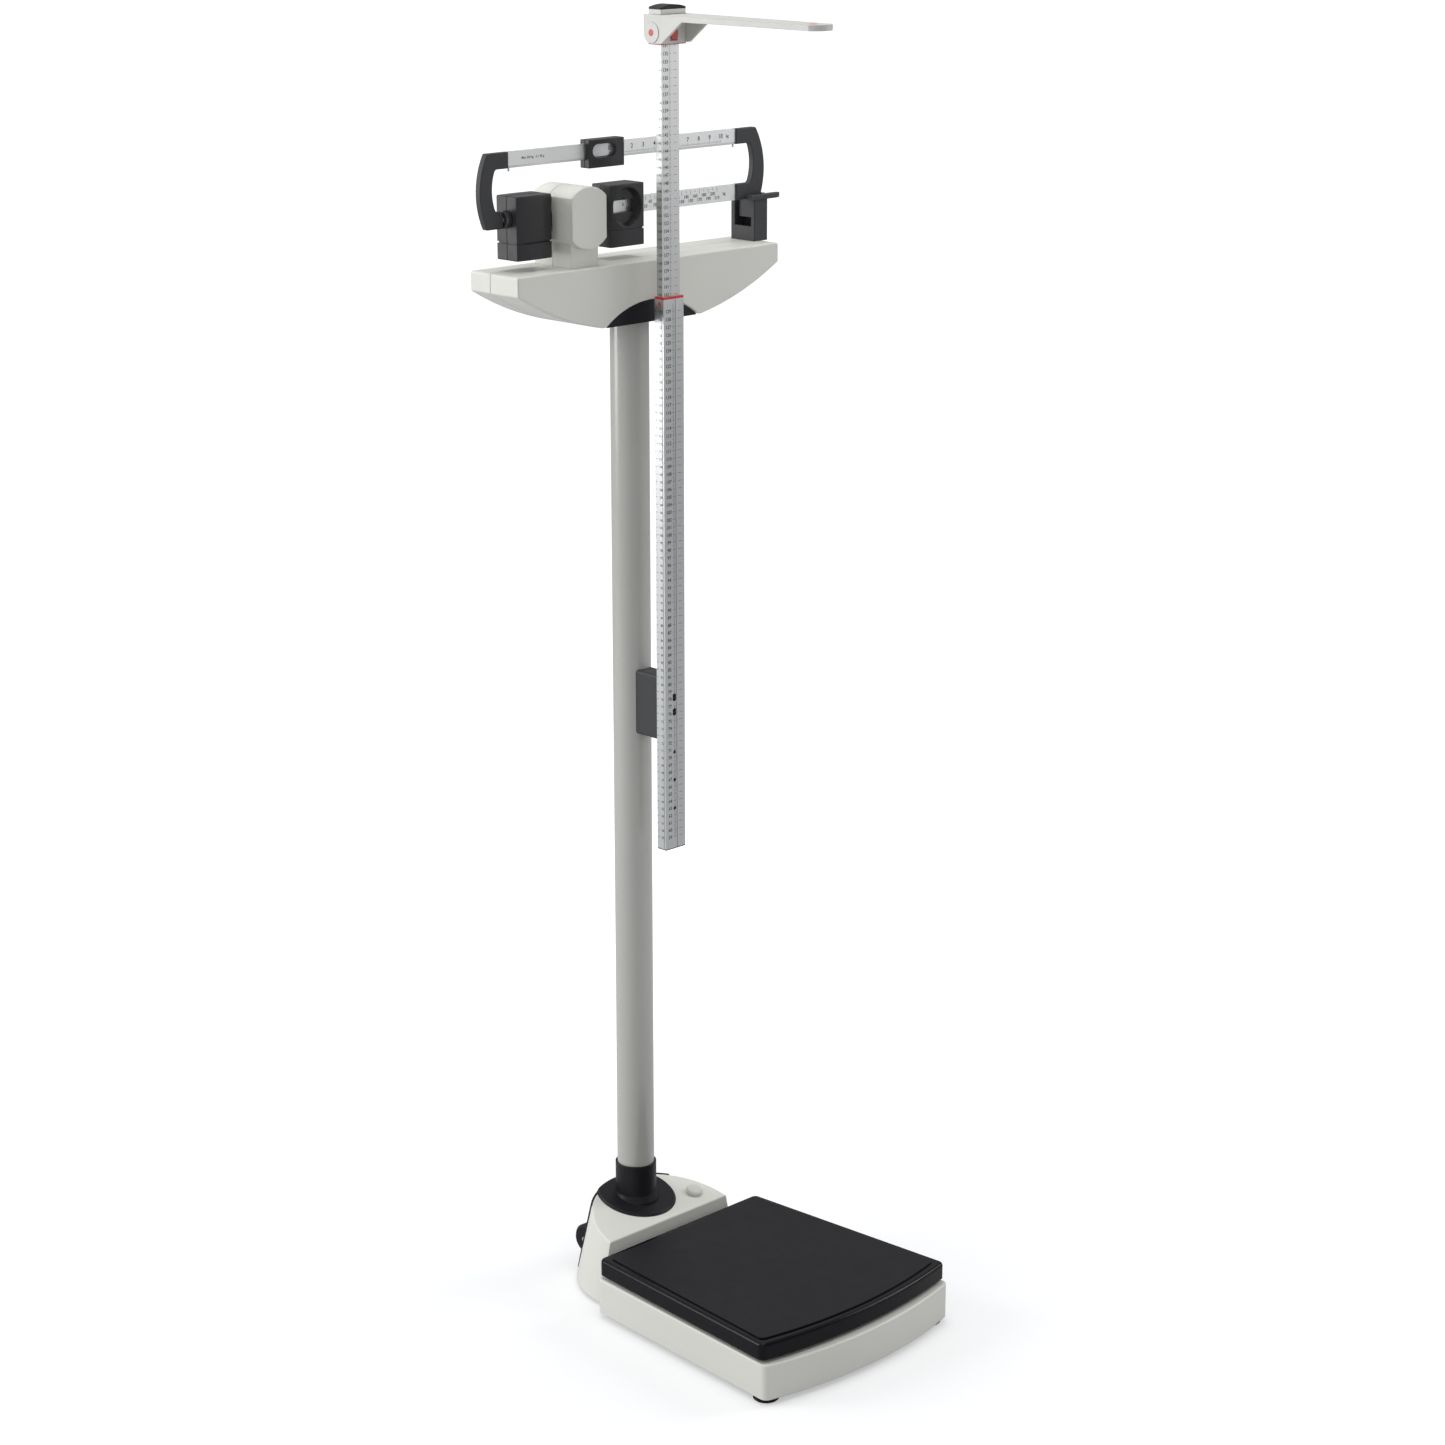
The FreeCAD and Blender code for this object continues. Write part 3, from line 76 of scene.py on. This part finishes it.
# %% [markdown]
# The scale stands on plain white, yet it still needs light and dark sides.  So the camera sees a
# white world, while the world that lights the object is dimmer and has a bright side, behind and to
# the left: the left faces of the rods then read light and their fronts grey.  Panels on the left,
# right, front and top add the soft gradients.  The floor is a pale sheet that glows, least round the base and
# more further out, so that it stays white and keeps only a soft shadow.

# %% Floor and light
FLOOR_SIZE = 60.0
GLOW_NEAR, GLOW_FAR = 0.42, 0.80
FADE_FROM, FADE_TO = 0.3, 1.5
BRIGHT_SIDE = Vector((-0.70, 0.55, 0.45)).normalized()
SKY_DARK, SKY_BRIGHT = 0.24, 0.70
SKY_FROM, SKY_TO = -0.6, 0.9
TARGET = Vector((0, 0, 0.9))


def make_floor():
    mesh = bpy.data.meshes.new("studio_floor")
    half = FLOOR_SIZE / 2
    mesh.from_pydata([(-half, -half, 0), (half, -half, 0), (half, half, 0), (-half, half, 0)],
                     [], [(0, 1, 2, 3)])
    floor = bpy.data.objects.new("studio_floor", mesh)
    bpy.context.scene.collection.objects.link(floor)
    paint = bpy.data.materials.new("pale_floor")
    paint.use_nodes = True
    shader = paint.node_tree.nodes["Principled BSDF"]
    shader.inputs["Base Color"].default_value = (0.60, 0.61, 0.62, 1)
    shader.inputs["Roughness"].default_value = 0.9
    shader.inputs["Specular IOR Level"].default_value = 0.1
    shader.inputs["Emission Color"].default_value = (1, 1, 1, 1)
    place = paint.node_tree.nodes.new("ShaderNodeNewGeometry")
    reach = paint.node_tree.nodes.new("ShaderNodeVectorMath")
    reach.operation = "LENGTH"
    paint.node_tree.links.new(place.outputs["Position"], reach.inputs[0])
    fade = paint.node_tree.nodes.new("ShaderNodeMapRange")
    fade.interpolation_type = "SMOOTHSTEP"
    fade.inputs["From Min"].default_value = FADE_FROM
    fade.inputs["From Max"].default_value = FADE_TO
    fade.inputs["To Min"].default_value = GLOW_NEAR
    fade.inputs["To Max"].default_value = GLOW_FAR
    paint.node_tree.links.new(reach.outputs["Value"], fade.inputs["Value"])
    path = paint.node_tree.nodes.new("ShaderNodeLightPath")
    glow = paint.node_tree.nodes.new("ShaderNodeMath")
    glow.operation = "MULTIPLY"
    paint.node_tree.links.new(fade.outputs["Result"], glow.inputs[1])
    paint.node_tree.links.new(path.outputs["Is Camera Ray"], glow.inputs[0])
    paint.node_tree.links.new(glow.outputs["Value"], shader.inputs["Emission Strength"])
    mesh.materials.append(paint)
    return floor


def make_panel(name, place, size, watts, aim=TARGET):
    light = bpy.data.lights.new(name, "AREA")
    light.shape = "RECTANGLE"
    light.size, light.size_y = size
    light.energy = watts
    panel = bpy.data.objects.new(name, light)
    panel.location = place
    panel.rotation_euler = (Vector(aim) - Vector(place)).to_track_quat("-Z", "Y").to_euler()
    bpy.context.scene.collection.objects.link(panel)
    return panel


def make_sky():
    """White to the camera; to everything else, dim with one bright side."""
    sky = bpy.data.worlds.new("studio_sky")
    sky.use_nodes = True
    tree = sky.node_tree
    background = tree.nodes["Background"]
    background.inputs["Color"].default_value = (1, 1, 1, 1)
    direction = tree.nodes.new("ShaderNodeTexCoord")
    side = tree.nodes.new("ShaderNodeVectorMath")
    side.operation = "DOT_PRODUCT"
    side.inputs[1].default_value = BRIGHT_SIDE
    shade = tree.nodes.new("ShaderNodeMapRange")
    shade.interpolation_type = "SMOOTHSTEP"
    shade.inputs["From Min"].default_value = SKY_FROM
    shade.inputs["From Max"].default_value = SKY_TO
    shade.inputs["To Min"].default_value = SKY_DARK
    shade.inputs["To Max"].default_value = SKY_BRIGHT
    path = tree.nodes.new("ShaderNodeLightPath")
    seen = tree.nodes.new("ShaderNodeMix")
    seen.inputs["B"].default_value = 1.0
    tree.links.new(direction.outputs["Generated"], side.inputs[0])
    tree.links.new(side.outputs["Value"], shade.inputs["Value"])
    tree.links.new(path.outputs["Is Camera Ray"], seen.inputs["Factor"])
    tree.links.new(shade.outputs["Result"], seen.inputs["A"])
    tree.links.new(seen.outputs["Result"], background.inputs["Strength"])
    bpy.context.scene.world = sky


bpy.context.scene.view_settings.view_transform = "Standard"
make_floor()
make_sky()
make_panel("left_panel", (-2.9, 2.6, 1.9), (1.6, 3.0), 68)
make_panel("right_panel", (3.9, -1.7, 3.0), (1.6, 2.4), 64)
make_panel("front_panel", (-1.8, -4.0, 2.6), (1.4, 1.6), 10)
make_panel("low_right_panel", (3.2, -3.3, 1.55), (1.2, 1.1), 8, aim=(0, 0, 1.4))
make_panel("top_panel", (0.2, 0.4, 3.9), (1.8, 1.8), 33)

# %% [markdown]
# Several finishes share the same small effects, so each effect is a node group that is built once.
# The groups give out colours, masks and normals only, and every material keeps its own shader.
#
# *Moulded grain* is the fine leather-like pitting of injection-moulded covers with a faint drift
# in tone.  It takes a base colour and returns the drifted colour, a roughness and a normal.

# %% Helpers for node groups
NOISE_LOW, NOISE_HIGH = 0.3, 0.7


def link(tree, source, target):
    tree.links.new(source, target)


def new_group(name, inputs, outputs):
    """An empty node group with the named sockets; returns the tree and its two end nodes."""
    tree = bpy.data.node_groups.new(name, "ShaderNodeTree")
    for title, kind, value in inputs:
        socket = tree.interface.new_socket(title, in_out="INPUT", socket_type=kind)
        if value is not None:
            socket.default_value = value
    for title, kind in outputs:
        tree.interface.new_socket(title, in_out="OUTPUT", socket_type=kind)
    return tree, tree.nodes.new("NodeGroupInput"), tree.nodes.new("NodeGroupOutput")


def noise(tree, scale, detail=3.0, coordinates=None):
    """A noise texture, in object space unless other coordinates are given."""
    if coordinates is None:
        coordinates = tree.nodes.new("ShaderNodeTexCoord").outputs["Object"]
    texture = tree.nodes.new("ShaderNodeTexNoise")
    texture.inputs["Scale"].default_value = scale
    texture.inputs["Detail"].default_value = detail
    link(tree, coordinates, texture.inputs["Vector"])
    return texture


def spread(tree, source, low, high):
    """Stretch a noise, which seldom leaves its middle range, to run from low to high."""
    mapped = tree.nodes.new("ShaderNodeMapRange")
    mapped.inputs["From Min"].default_value = NOISE_LOW
    mapped.inputs["From Max"].default_value = NOISE_HIGH
    mapped.inputs["To Min"].default_value = low
    mapped.inputs["To Max"].default_value = high
    link(tree, source, mapped.inputs["Value"])
    return mapped.outputs["Result"]


# %% Moulded grain
def make_moulded_grain():
    tree, given, result = new_group(
        "moulded_grain",
        [("Colour", "NodeSocketColor", (0.5, 0.5, 0.5, 1)), ("Grain Scale", "NodeSocketFloat", 1600.0),
         ("Grain Depth", "NodeSocketFloat", 0.1), ("Roughness", "NodeSocketFloat", 0.4),
         ("Normal", "NodeSocketVector", None)],
        [("Colour", "NodeSocketColor"), ("Roughness", "NodeSocketFloat"), ("Normal", "NodeSocketVector")])
    drift = noise(tree, 5.0, 2.0)
    tone = tree.nodes.new("ShaderNodeMix")
    tone.data_type = "RGBA"
    tone.blend_type = "MULTIPLY"
    tone.inputs["Factor"].default_value = 1.0
    shade = tree.nodes.new("ShaderNodeCombineColor")
    value = spread(tree, drift.outputs["Fac"], 0.975, 1.02)
    for channel in ("Red", "Green", "Blue"):
        link(tree, value, shade.inputs[channel])
    link(tree, given.outputs["Colour"], tone.inputs["A"])
    link(tree, shade.outputs["Color"], tone.inputs["B"])
    pits = noise(tree, 1600.0, 2.0)
    link(tree, given.outputs["Grain Scale"], pits.inputs["Scale"])
    bump = tree.nodes.new("ShaderNodeBump")
    bump.inputs["Distance"].default_value = 0.0002
    link(tree, given.outputs["Grain Depth"], bump.inputs["Strength"])
    link(tree, pits.outputs["Fac"], bump.inputs["Height"])
    link(tree, given.outputs["Normal"], bump.inputs["Normal"])
    gloss = tree.nodes.new("ShaderNodeMath")
    gloss.operation = "ADD"
    link(tree, given.outputs["Roughness"], gloss.inputs[0])
    link(tree, spread(tree, noise(tree, 40.0).outputs["Fac"], -0.03, 0.03), gloss.inputs[1])
    link(tree, tone.outputs["Result"], result.inputs["Colour"])
    link(tree, gloss.outputs["Value"], result.inputs["Roughness"])
    link(tree, bump.outputs["Normal"], result.inputs["Normal"])
    return tree


# %% [markdown]
# Nothing real has a knife-sharp corner.  The *soft edge* group looks round each corner of the mesh
# with a Bevel node: its normal catches a thin highlight there, and where that normal leaves the
# true one, a mask marks the edge; the finishes paint a tone there, mostly a painted highlight.

# %% Soft edge
def make_soft_edge():
    tree, given, result = new_group(
        "soft_edge", [("Radius", "NodeSocketFloat", 0.0008)],
        [("Normal", "NodeSocketVector"), ("Edge", "NodeSocketFloat")])
    bevel = tree.nodes.new("ShaderNodeBevel")
    bevel.samples = 4
    link(tree, given.outputs["Radius"], bevel.inputs["Radius"])
    facing = tree.nodes.new("ShaderNodeNewGeometry")
    dot = tree.nodes.new("ShaderNodeVectorMath")
    dot.operation = "DOT_PRODUCT"
    link(tree, bevel.outputs["Normal"], dot.inputs[0])
    link(tree, facing.outputs["Normal"], dot.inputs[1])
    mask = tree.nodes.new("ShaderNodeMapRange")
    mask.inputs["From Min"].default_value = 0.995
    mask.inputs["From Max"].default_value = 0.85
    link(tree, dot.outputs["Value"], mask.inputs["Value"])
    link(tree, bevel.outputs["Normal"], result.inputs["Normal"])
    link(tree, mask.outputs["Result"], result.inputs["Edge"])
    return tree


# %% [markdown]
# Drawn aluminium keeps faint lines along the way it was pulled through the die.  *Drawn lines*
# squeezes a noise along one axis, so the same group serves the upright rods and the level bars.

# %% Drawn lines
def make_drawn_lines():
    tree, given, result = new_group(
        "drawn_lines",
        [("Along", "NodeSocketVector", (1.0, 1.0, 1.0)), ("Depth", "NodeSocketFloat", 0.1),
         ("Normal", "NodeSocketVector", None)],
        [("Lines", "NodeSocketFloat"), ("Normal", "NodeSocketVector")])
    coordinates = tree.nodes.new("ShaderNodeTexCoord")
    squeezed = tree.nodes.new("ShaderNodeVectorMath")
    squeezed.operation = "MULTIPLY"
    link(tree, coordinates.outputs["Object"], squeezed.inputs[0])
    link(tree, given.outputs["Along"], squeezed.inputs[1])
    lines = noise(tree, 1.0, 4.0, coordinates=squeezed.outputs["Vector"])
    bump = tree.nodes.new("ShaderNodeBump")
    bump.inputs["Distance"].default_value = 0.0001
    link(tree, given.outputs["Depth"], bump.inputs["Strength"])
    link(tree, lines.outputs["Fac"], bump.inputs["Height"])
    link(tree, given.outputs["Normal"], bump.inputs["Normal"])
    link(tree, lines.outputs["Fac"], result.inputs["Lines"])
    link(tree, bump.outputs["Normal"], result.inputs["Normal"])
    return tree


moulded_grain = make_moulded_grain()
soft_edge = make_soft_edge()
drawn_lines = make_drawn_lines()
print("groups", [tree.name for tree in bpy.data.node_groups])

# %% [markdown]
# The covers, the poises and the mat are all plastic or rubber of some kind.  One recipe makes them:
# the soft edge feeds the grain's normal, the grain feeds the shader, and the edge mask scales the
# colour along the edges by an edge tone: a painted highlight where it is above one, darker edges below.

# %% Recipe for plastic, rubber and paint
def place_group(material, tree, **values):
    node = material.node_tree.nodes.new("ShaderNodeGroup")
    node.node_tree = tree
    for title, value in values.items():
        node.inputs[title.replace("_", " ")].default_value = value
    return node


def moulded(name, colour, roughness, grain=0.1, grain_scale=1600.0, edge_radius=0.0008,
            painted_edge_tone=1.0, specular=0.5):
    material = bpy.data.materials.new(name)
    material.use_nodes = True
    tree = material.node_tree
    shader = tree.nodes["Principled BSDF"]
    edge = place_group(material, soft_edge, Radius=edge_radius)
    skin = place_group(material, moulded_grain, Grain_Scale=grain_scale, Grain_Depth=grain,
                       Roughness=roughness)
    # Painted highlight: along the edges the colour is multiplied by the edge tone, lighter above one and
    # darker below.
    painted_edge = tree.nodes.new("ShaderNodeMix")
    painted_edge.data_type = "RGBA"
    painted_edge.inputs["A"].default_value = (*colour, 1)
    painted_edge.inputs["B"].default_value = (*[min(1.0, part * painted_edge_tone) for part in colour], 1)
    link(tree, edge.outputs["Edge"], painted_edge.inputs["Factor"])
    link(tree, painted_edge.outputs["Result"], skin.inputs["Colour"])
    link(tree, edge.outputs["Normal"], skin.inputs["Normal"])
    link(tree, skin.outputs["Colour"], shader.inputs["Base Color"])
    link(tree, skin.outputs["Roughness"], shader.inputs["Roughness"])
    link(tree, skin.outputs["Normal"], shader.inputs["Normal"])
    shader.inputs["Specular IOR Level"].default_value = specular
    return material


# %% [markdown]
# The metals use the drawn lines in place of the grain: the lines shift the roughness and tone, and
# the edge mask makes the colour lighter along the arrises.

# %% Recipe for metal
def drawn_metal(name, colour, roughness, along, depth=0.08, edge_radius=0.0005):
    material = bpy.data.materials.new(name)
    material.use_nodes = True
    tree = material.node_tree
    shader = tree.nodes["Principled BSDF"]
    shader.inputs["Metallic"].default_value = 1.0
    edge = place_group(material, soft_edge, Radius=edge_radius)
    lines = place_group(material, drawn_lines, Along=along, Depth=depth)
    link(tree, edge.outputs["Normal"], lines.inputs["Normal"])
    tone = tree.nodes.new("ShaderNodeMix")
    tone.data_type = "RGBA"
    tone.inputs["A"].default_value = (*[part * 0.93 for part in colour], 1)
    tone.inputs["B"].default_value = (*colour, 1)
    link(tree, lines.outputs["Lines"], tone.inputs["Factor"])
    bright = tree.nodes.new("ShaderNodeMix")
    bright.data_type = "RGBA"
    bright.inputs["B"].default_value = (*[min(1.0, part * 1.2) for part in colour], 1)
    link(tree, edge.outputs["Edge"], bright.inputs["Factor"])
    link(tree, tone.outputs["Result"], bright.inputs["A"])
    link(tree, bright.outputs["Result"], shader.inputs["Base Color"])
    link(tree, spread(tree, lines.outputs["Lines"], roughness - 0.04, roughness + 0.04),
         shader.inputs["Roughness"])
    link(tree, lines.outputs["Normal"], shader.inputs["Normal"])
    return material


# %% [markdown]
# Now the finishes themselves, one for each material slot of the model.

# %% The finishes
LINES_UP = (2500.0, 2500.0, 12.0)
LINES_ACROSS = (12.0, 2500.0, 2500.0)
LINES_FINE = (900.0, 900.0, 900.0)

# An edge tone above one paints a highlight along the edges: the light rims of the black covers, the mat, the
# poises and most of all the tray. The anthracite's tone below one darkens its edges.
FINISHES = {
    "housing_grey": moulded("cover_white", (0.76, 0.76, 0.71), 0.38, grain=0.05, edge_radius=0.0015),
    "column_grey": moulded("column_paint", (0.49, 0.495, 0.465), 0.19, grain=0.03,
                           grain_scale=500.0, specular=0.9),
    "light_plastic": moulded("pale_plastic", (0.66, 0.66, 0.63), 0.35, grain=0.04),
    "black_plastic": moulded("black_cover", (0.010, 0.010, 0.013), 0.42, grain=0.12, painted_edge_tone=2.2,
                             specular=0.25),
    "black_rubber": moulded("mat_rubber", (0.0065, 0.006, 0.0095), 0.5, grain=0.25, grain_scale=900.0,
                            painted_edge_tone=1.8, specular=0.25),
    "black_paint": moulded("tray_black", (0.003, 0.003, 0.0045), 0.20, grain=0.05, edge_radius=0.0015,
                           painted_edge_tone=4.0, specular=0.18),
    "dark_grey": moulded("anthracite_plastic", (0.056, 0.057, 0.061), 0.45, grain=0.16, painted_edge_tone=0.55,
                         specular=0.22),
    "poise_black": moulded("poise_paint", (0.024, 0.024, 0.027), 0.36, grain=0.1, painted_edge_tone=2.0,
                           specular=0.38),
    "frame_steel": moulded("chassis_paint", (0.05, 0.05, 0.055), 0.5, grain=0.1),
    "red_plastic": moulded("signal_red", (0.60, 0.03, 0.02), 0.3, grain=0.02),
    "bar_aluminium": drawn_metal("bar_metal", (0.78, 0.79, 0.79), 0.42, LINES_ACROSS),
    "rod_aluminium": drawn_metal("rod_metal", (0.60, 0.61, 0.61), 0.34, LINES_UP),
    "steel": drawn_metal("ground_steel", (0.60, 0.60, 0.61), 0.30, LINES_FINE),
    "knurled_steel": drawn_metal("nut_steel", (0.30, 0.30, 0.31), 0.35, LINES_FINE),
}


def dress(finishes):
    """Give each node the finish of its material slot."""
    slots = {entry["node"]: entry["material_slot"] for entry in frame["record"]["subparts"]}
    for name, piece in nodes.items():
        piece.data.materials.clear()
        piece.data.materials.append(finishes[slots[name]])
    return len(slots)


print("dressed", dress(FINISHES), "nodes")

# %% [markdown]
# The scales on the rods and bars are printed.  Print is far thinner than any mesh needs to be, so
# each mark is a flat quad or a flat numeral that floats a few hundredths of a millimetre over the
# metal.  A *face* is a matrix that says where a print lies and which way is right and up on it, and
# one bmesh collects all the marks of a face, so that a scale is a single piece.

# %% Helpers for print
PRINT_LIFT = 0.00006
LETTER_WEIGHT = 0.018


def face_frame(origin, right, up):
    """A matrix whose X and Y run along a flat face and whose Z leaves it."""
    right, up = Vector(right), Vector(up)
    out = right.cross(up)
    place = Matrix((right, up, out)).transposed().to_4x4()
    place.translation = Vector(origin) + out * PRINT_LIFT
    return place


def add_mark(marks, face, x, y, wide, tall):
    """A flat printed rectangle centred on a point of the face."""
    corners = [(-1, -1), (1, -1), (1, 1), (-1, 1)]
    points = [face @ Vector((x + side * wide / 2, y + rise * tall / 2, 0)) for side, rise in corners]
    marks.faces.new([marks.verts.new(point) for point in points])


def add_text(marks, face, text, x, y, size):
    """Flat letters centred on a point of the face."""
    curve = bpy.data.curves.new("letters", "FONT")
    curve.body = text
    curve.size = size
    curve.offset = size * LETTER_WEIGHT
    curve.align_x = "CENTER"
    curve.align_y = "CENTER"
    curve.resolution_u = 2
    letters = bpy.data.objects.new("letters", curve)
    mesh = bpy.data.meshes.new_from_object(letters)
    mesh.transform(face @ Matrix.Translation((x, y, 0)))
    marks.from_mesh(mesh)
    bpy.data.meshes.remove(mesh)
    bpy.data.objects.remove(letters)
    bpy.data.curves.remove(curve)


def print_on(name, marks, body, ink):
    """Turn the collected marks into one piece that rides on a body."""
    mesh = bpy.data.meshes.new(name)
    marks.to_mesh(mesh)
    marks.free()
    mesh.materials.append(ink)
    piece = bpy.data.objects.new(name, mesh)
    bpy.context.scene.collection.objects.link(piece)
    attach(piece, body)
    print(name, "faces", len(mesh.polygons))
    return piece


ink_black = moulded("printing_ink", (0.03, 0.03, 0.035), 0.5, grain=0.0, edge_radius=0.0)
ink_red = moulded("red_ink", (0.60, 0.03, 0.02), 0.4, grain=0.0, edge_radius=0.0)

# %% [markdown]
# The height rod reads in centimetres above the mat.  On the fixed outer rod the sliding head's
# lower edge is the pointer, so its numbers grow upwards.  On the inner rod the red ring is the
# pointer, so its numbers grow downwards and carry on where the outer rod's stop.  Both rods repeat
# the scale on their left side.

# %% Height scales
CENTIMETRE = 0.01
mat_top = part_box("rubber_mat")[1].z
ring_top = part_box("rod_stop_ring")[1].z
slider_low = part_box("head_slider")[0].z
arm_underside = slider_low + 0.030


def height_marks(marks, face, wide, numbers, place_of, narrow=False):
    """Millimetre ticks, centimetre ticks and a number at each centimetre, in one column."""
    for number in numbers:
        height = place_of(number)
        if narrow:
            add_mark(marks, face, -wide * 0.36, height, wide * 0.22, 0.0005)
            add_text(marks, face, str(number), wide * 0.14, height, 0.0046)
            continue
        add_text(marks, face, str(number), -wide * 0.27, height, 0.0064)
        add_mark(marks, face, -wide * 0.02, height, wide * 0.13, 0.00045)
        add_mark(marks, face, wide * 0.27, height, wide * 0.18, 0.00045)
        for tenth in range(1, 10):
            reach = 0.09 if tenth == 5 else 0.05
            at = height + tenth * CENTIMETRE / 10
            add_mark(marks, face, -wide * (0.045 - (0.09 - reach) / 2), at, wide * reach, 0.00026)


def print_rod(name, node, body, numbers, place_of):
    low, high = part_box(node)
    wide, deep = high.x - low.x, high.y - low.y
    front = face_frame(((low.x + high.x) / 2, low.y, 0), (1, 0, 0), (0, 0, 1))
    left = face_frame((low.x, (low.y + high.y) / 2, 0), (0, -1, 0), (0, 0, 1))
    marks = bmesh.new()
    height_marks(marks, front, wide, numbers, place_of)
    height_marks(marks, left, deep, numbers, place_of, narrow=True)
    return print_on(name, marks, body, ink_black)


def outer_place(number):
    return number * CENTIMETRE + mat_top - (arm_underside - slider_low)


def inner_place(number):
    return ring_top + (arm_underside - mat_top) - number * CENTIMETRE


def numbers_between(place_of, low, high):
    return [number for number in range(20, 260) if low < place_of(number) < high]


outer_low, outer_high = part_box("outer_rod")
inner_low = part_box("inner_rod")[0]
print_rod("outer_rod_scale", "outer_rod", "chassis",
          numbers_between(outer_place, outer_low.z + 0.012, outer_high.z - 0.012), outer_place)
print_rod("inner_rod_scale", "inner_rod", "inner_rod",
          numbers_between(inner_place, inner_low.z + 0.004, slider_low + 0.030), inner_place)

# %% [markdown]
# The beam carries two scales.  The upper bar reads single kilograms, with a tick for each hundred
# grams; the lower bar reads tens, with numbers that alternate between two rows so that three
# digits find room.  Both end in the unit, and both ride with the beam as it tips.

# %% Beam scales
KILOGRAM = 0.01975
TEN_KILOGRAMS = 0.008
UPPER_ZERO = 0.0395
LOWER_ZERO = -0.012
SMALL_PRINT_BACK = 0.128


def print_upper_bar():
    low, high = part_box("upper_bar")
    face = face_frame((0, low.y, 0), (1, 0, 0), (0, 0, 1))
    tall = high.z - low.z
    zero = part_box("upper_poise_front")[0].x + UPPER_ZERO
    row, ticks = low.z + tall * 0.60, low.z + tall * 0.22
    marks = bmesh.new()
    for number in range(11):
        add_text(marks, face, str(number), zero + number * KILOGRAM, row, 0.0080)
    add_text(marks, face, "kg", zero + 10 * KILOGRAM + 0.0125, row - 0.0004, 0.0055)
    for step in range(101):
        long = 0.0034 if step % 10 == 0 else 0.0024 if step % 5 == 0 else 0.0016
        add_mark(marks, face, zero + step * KILOGRAM / 10, ticks + long / 2, 0.00042, long)
    add_text(marks, face, "Max 220 kg   d = 50 g", zero - SMALL_PRINT_BACK, low.z + tall * 0.55, 0.0042)
    print_on("upper_bar_scale", marks, "beam", ink_black)


def print_lower_bar():
    low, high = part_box("lower_bar")
    face = face_frame((0, low.y, 0), (1, 0, 0), (0, 0, 1))
    tall = high.z - low.z
    marks = bmesh.new()
    for step in range(22):
        x = LOWER_ZERO + step * TEN_KILOGRAMS
        upper = step % 2 == 0
        row, drop, length = (0.56, 0.13, 0.14) if upper else (0.30, 0.20, 0.28)
        add_text(marks, face, str(step * 10), x, low.z + tall * row, 0.0060)
        add_mark(marks, face, x, high.z - tall * drop, 0.0005, tall * length)
    add_text(marks, face, "kg", LOWER_ZERO + 21 * TEN_KILOGRAMS + 0.013, low.z + tall * 0.5, 0.0055)
    print_on("lower_bar_scale", marks, "beam", ink_black)


print_upper_bar()
print_lower_bar()

# %% [markdown]
# A few touches of red lead the eye to where the rod is read: a line round the sliding head's lower
# edge, a dot near the arm's tip, and a mark on the outer rod's side just under its ring.

# %% Red marks
def ring_of_line(marks, low, high, height, tall):
    """Four thin strips round a rectangular piece."""
    wide, deep = high.x - low.x, high.y - low.y
    middle = (low + high) / 2
    for origin, right, length in (((middle.x, low.y, 0), (1, 0, 0), wide),
                                  ((middle.x, high.y, 0), (-1, 0, 0), wide),
                                  ((low.x, middle.y, 0), (0, -1, 0), deep),
                                  ((high.x, middle.y, 0), (0, 1, 0), deep)):
        add_mark(marks, face_frame(origin, right, (0, 0, 1)), 0, height, length, tall)


def add_dot(marks, face, x, y, wide, tall, sides=24):
    points = [face @ Vector((x + wide / 2 * math.cos(2 * math.pi * step / sides),
                             y + tall / 2 * math.sin(2 * math.pi * step / sides), 0))
              for step in range(sides)]
    marks.faces.new([marks.verts.new(point) for point in points])


def print_red_marks():
    low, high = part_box("head_slider")
    marks = bmesh.new()
    ring_of_line(marks, low, high, low.z + 0.0006, 0.0010)
    print_on("head_red_line", marks, "head_slider", ink_red)
    arm_low, arm_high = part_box("measuring_arm")
    top = face_frame((0, arm_low.y, arm_high.z), (1, 0, 0), (0, 1, 0))
    marks = bmesh.new()
    add_dot(marks, top, 0, 0.024, 0.012, 0.009)
    print_on("arm_red_dot", marks, "measuring_arm", ink_red)
    side = face_frame((outer_low.x, (outer_low.y + outer_high.y) / 2, 0), (0, -1, 0), (0, 0, 1))
    marks = bmesh.new()
    add_dot(marks, side, 0.001, outer_high.z - 0.006, 0.005, 0.006)
    print_on("rod_red_mark", marks, "chassis", ink_red)


print_red_marks()

# %% Finish
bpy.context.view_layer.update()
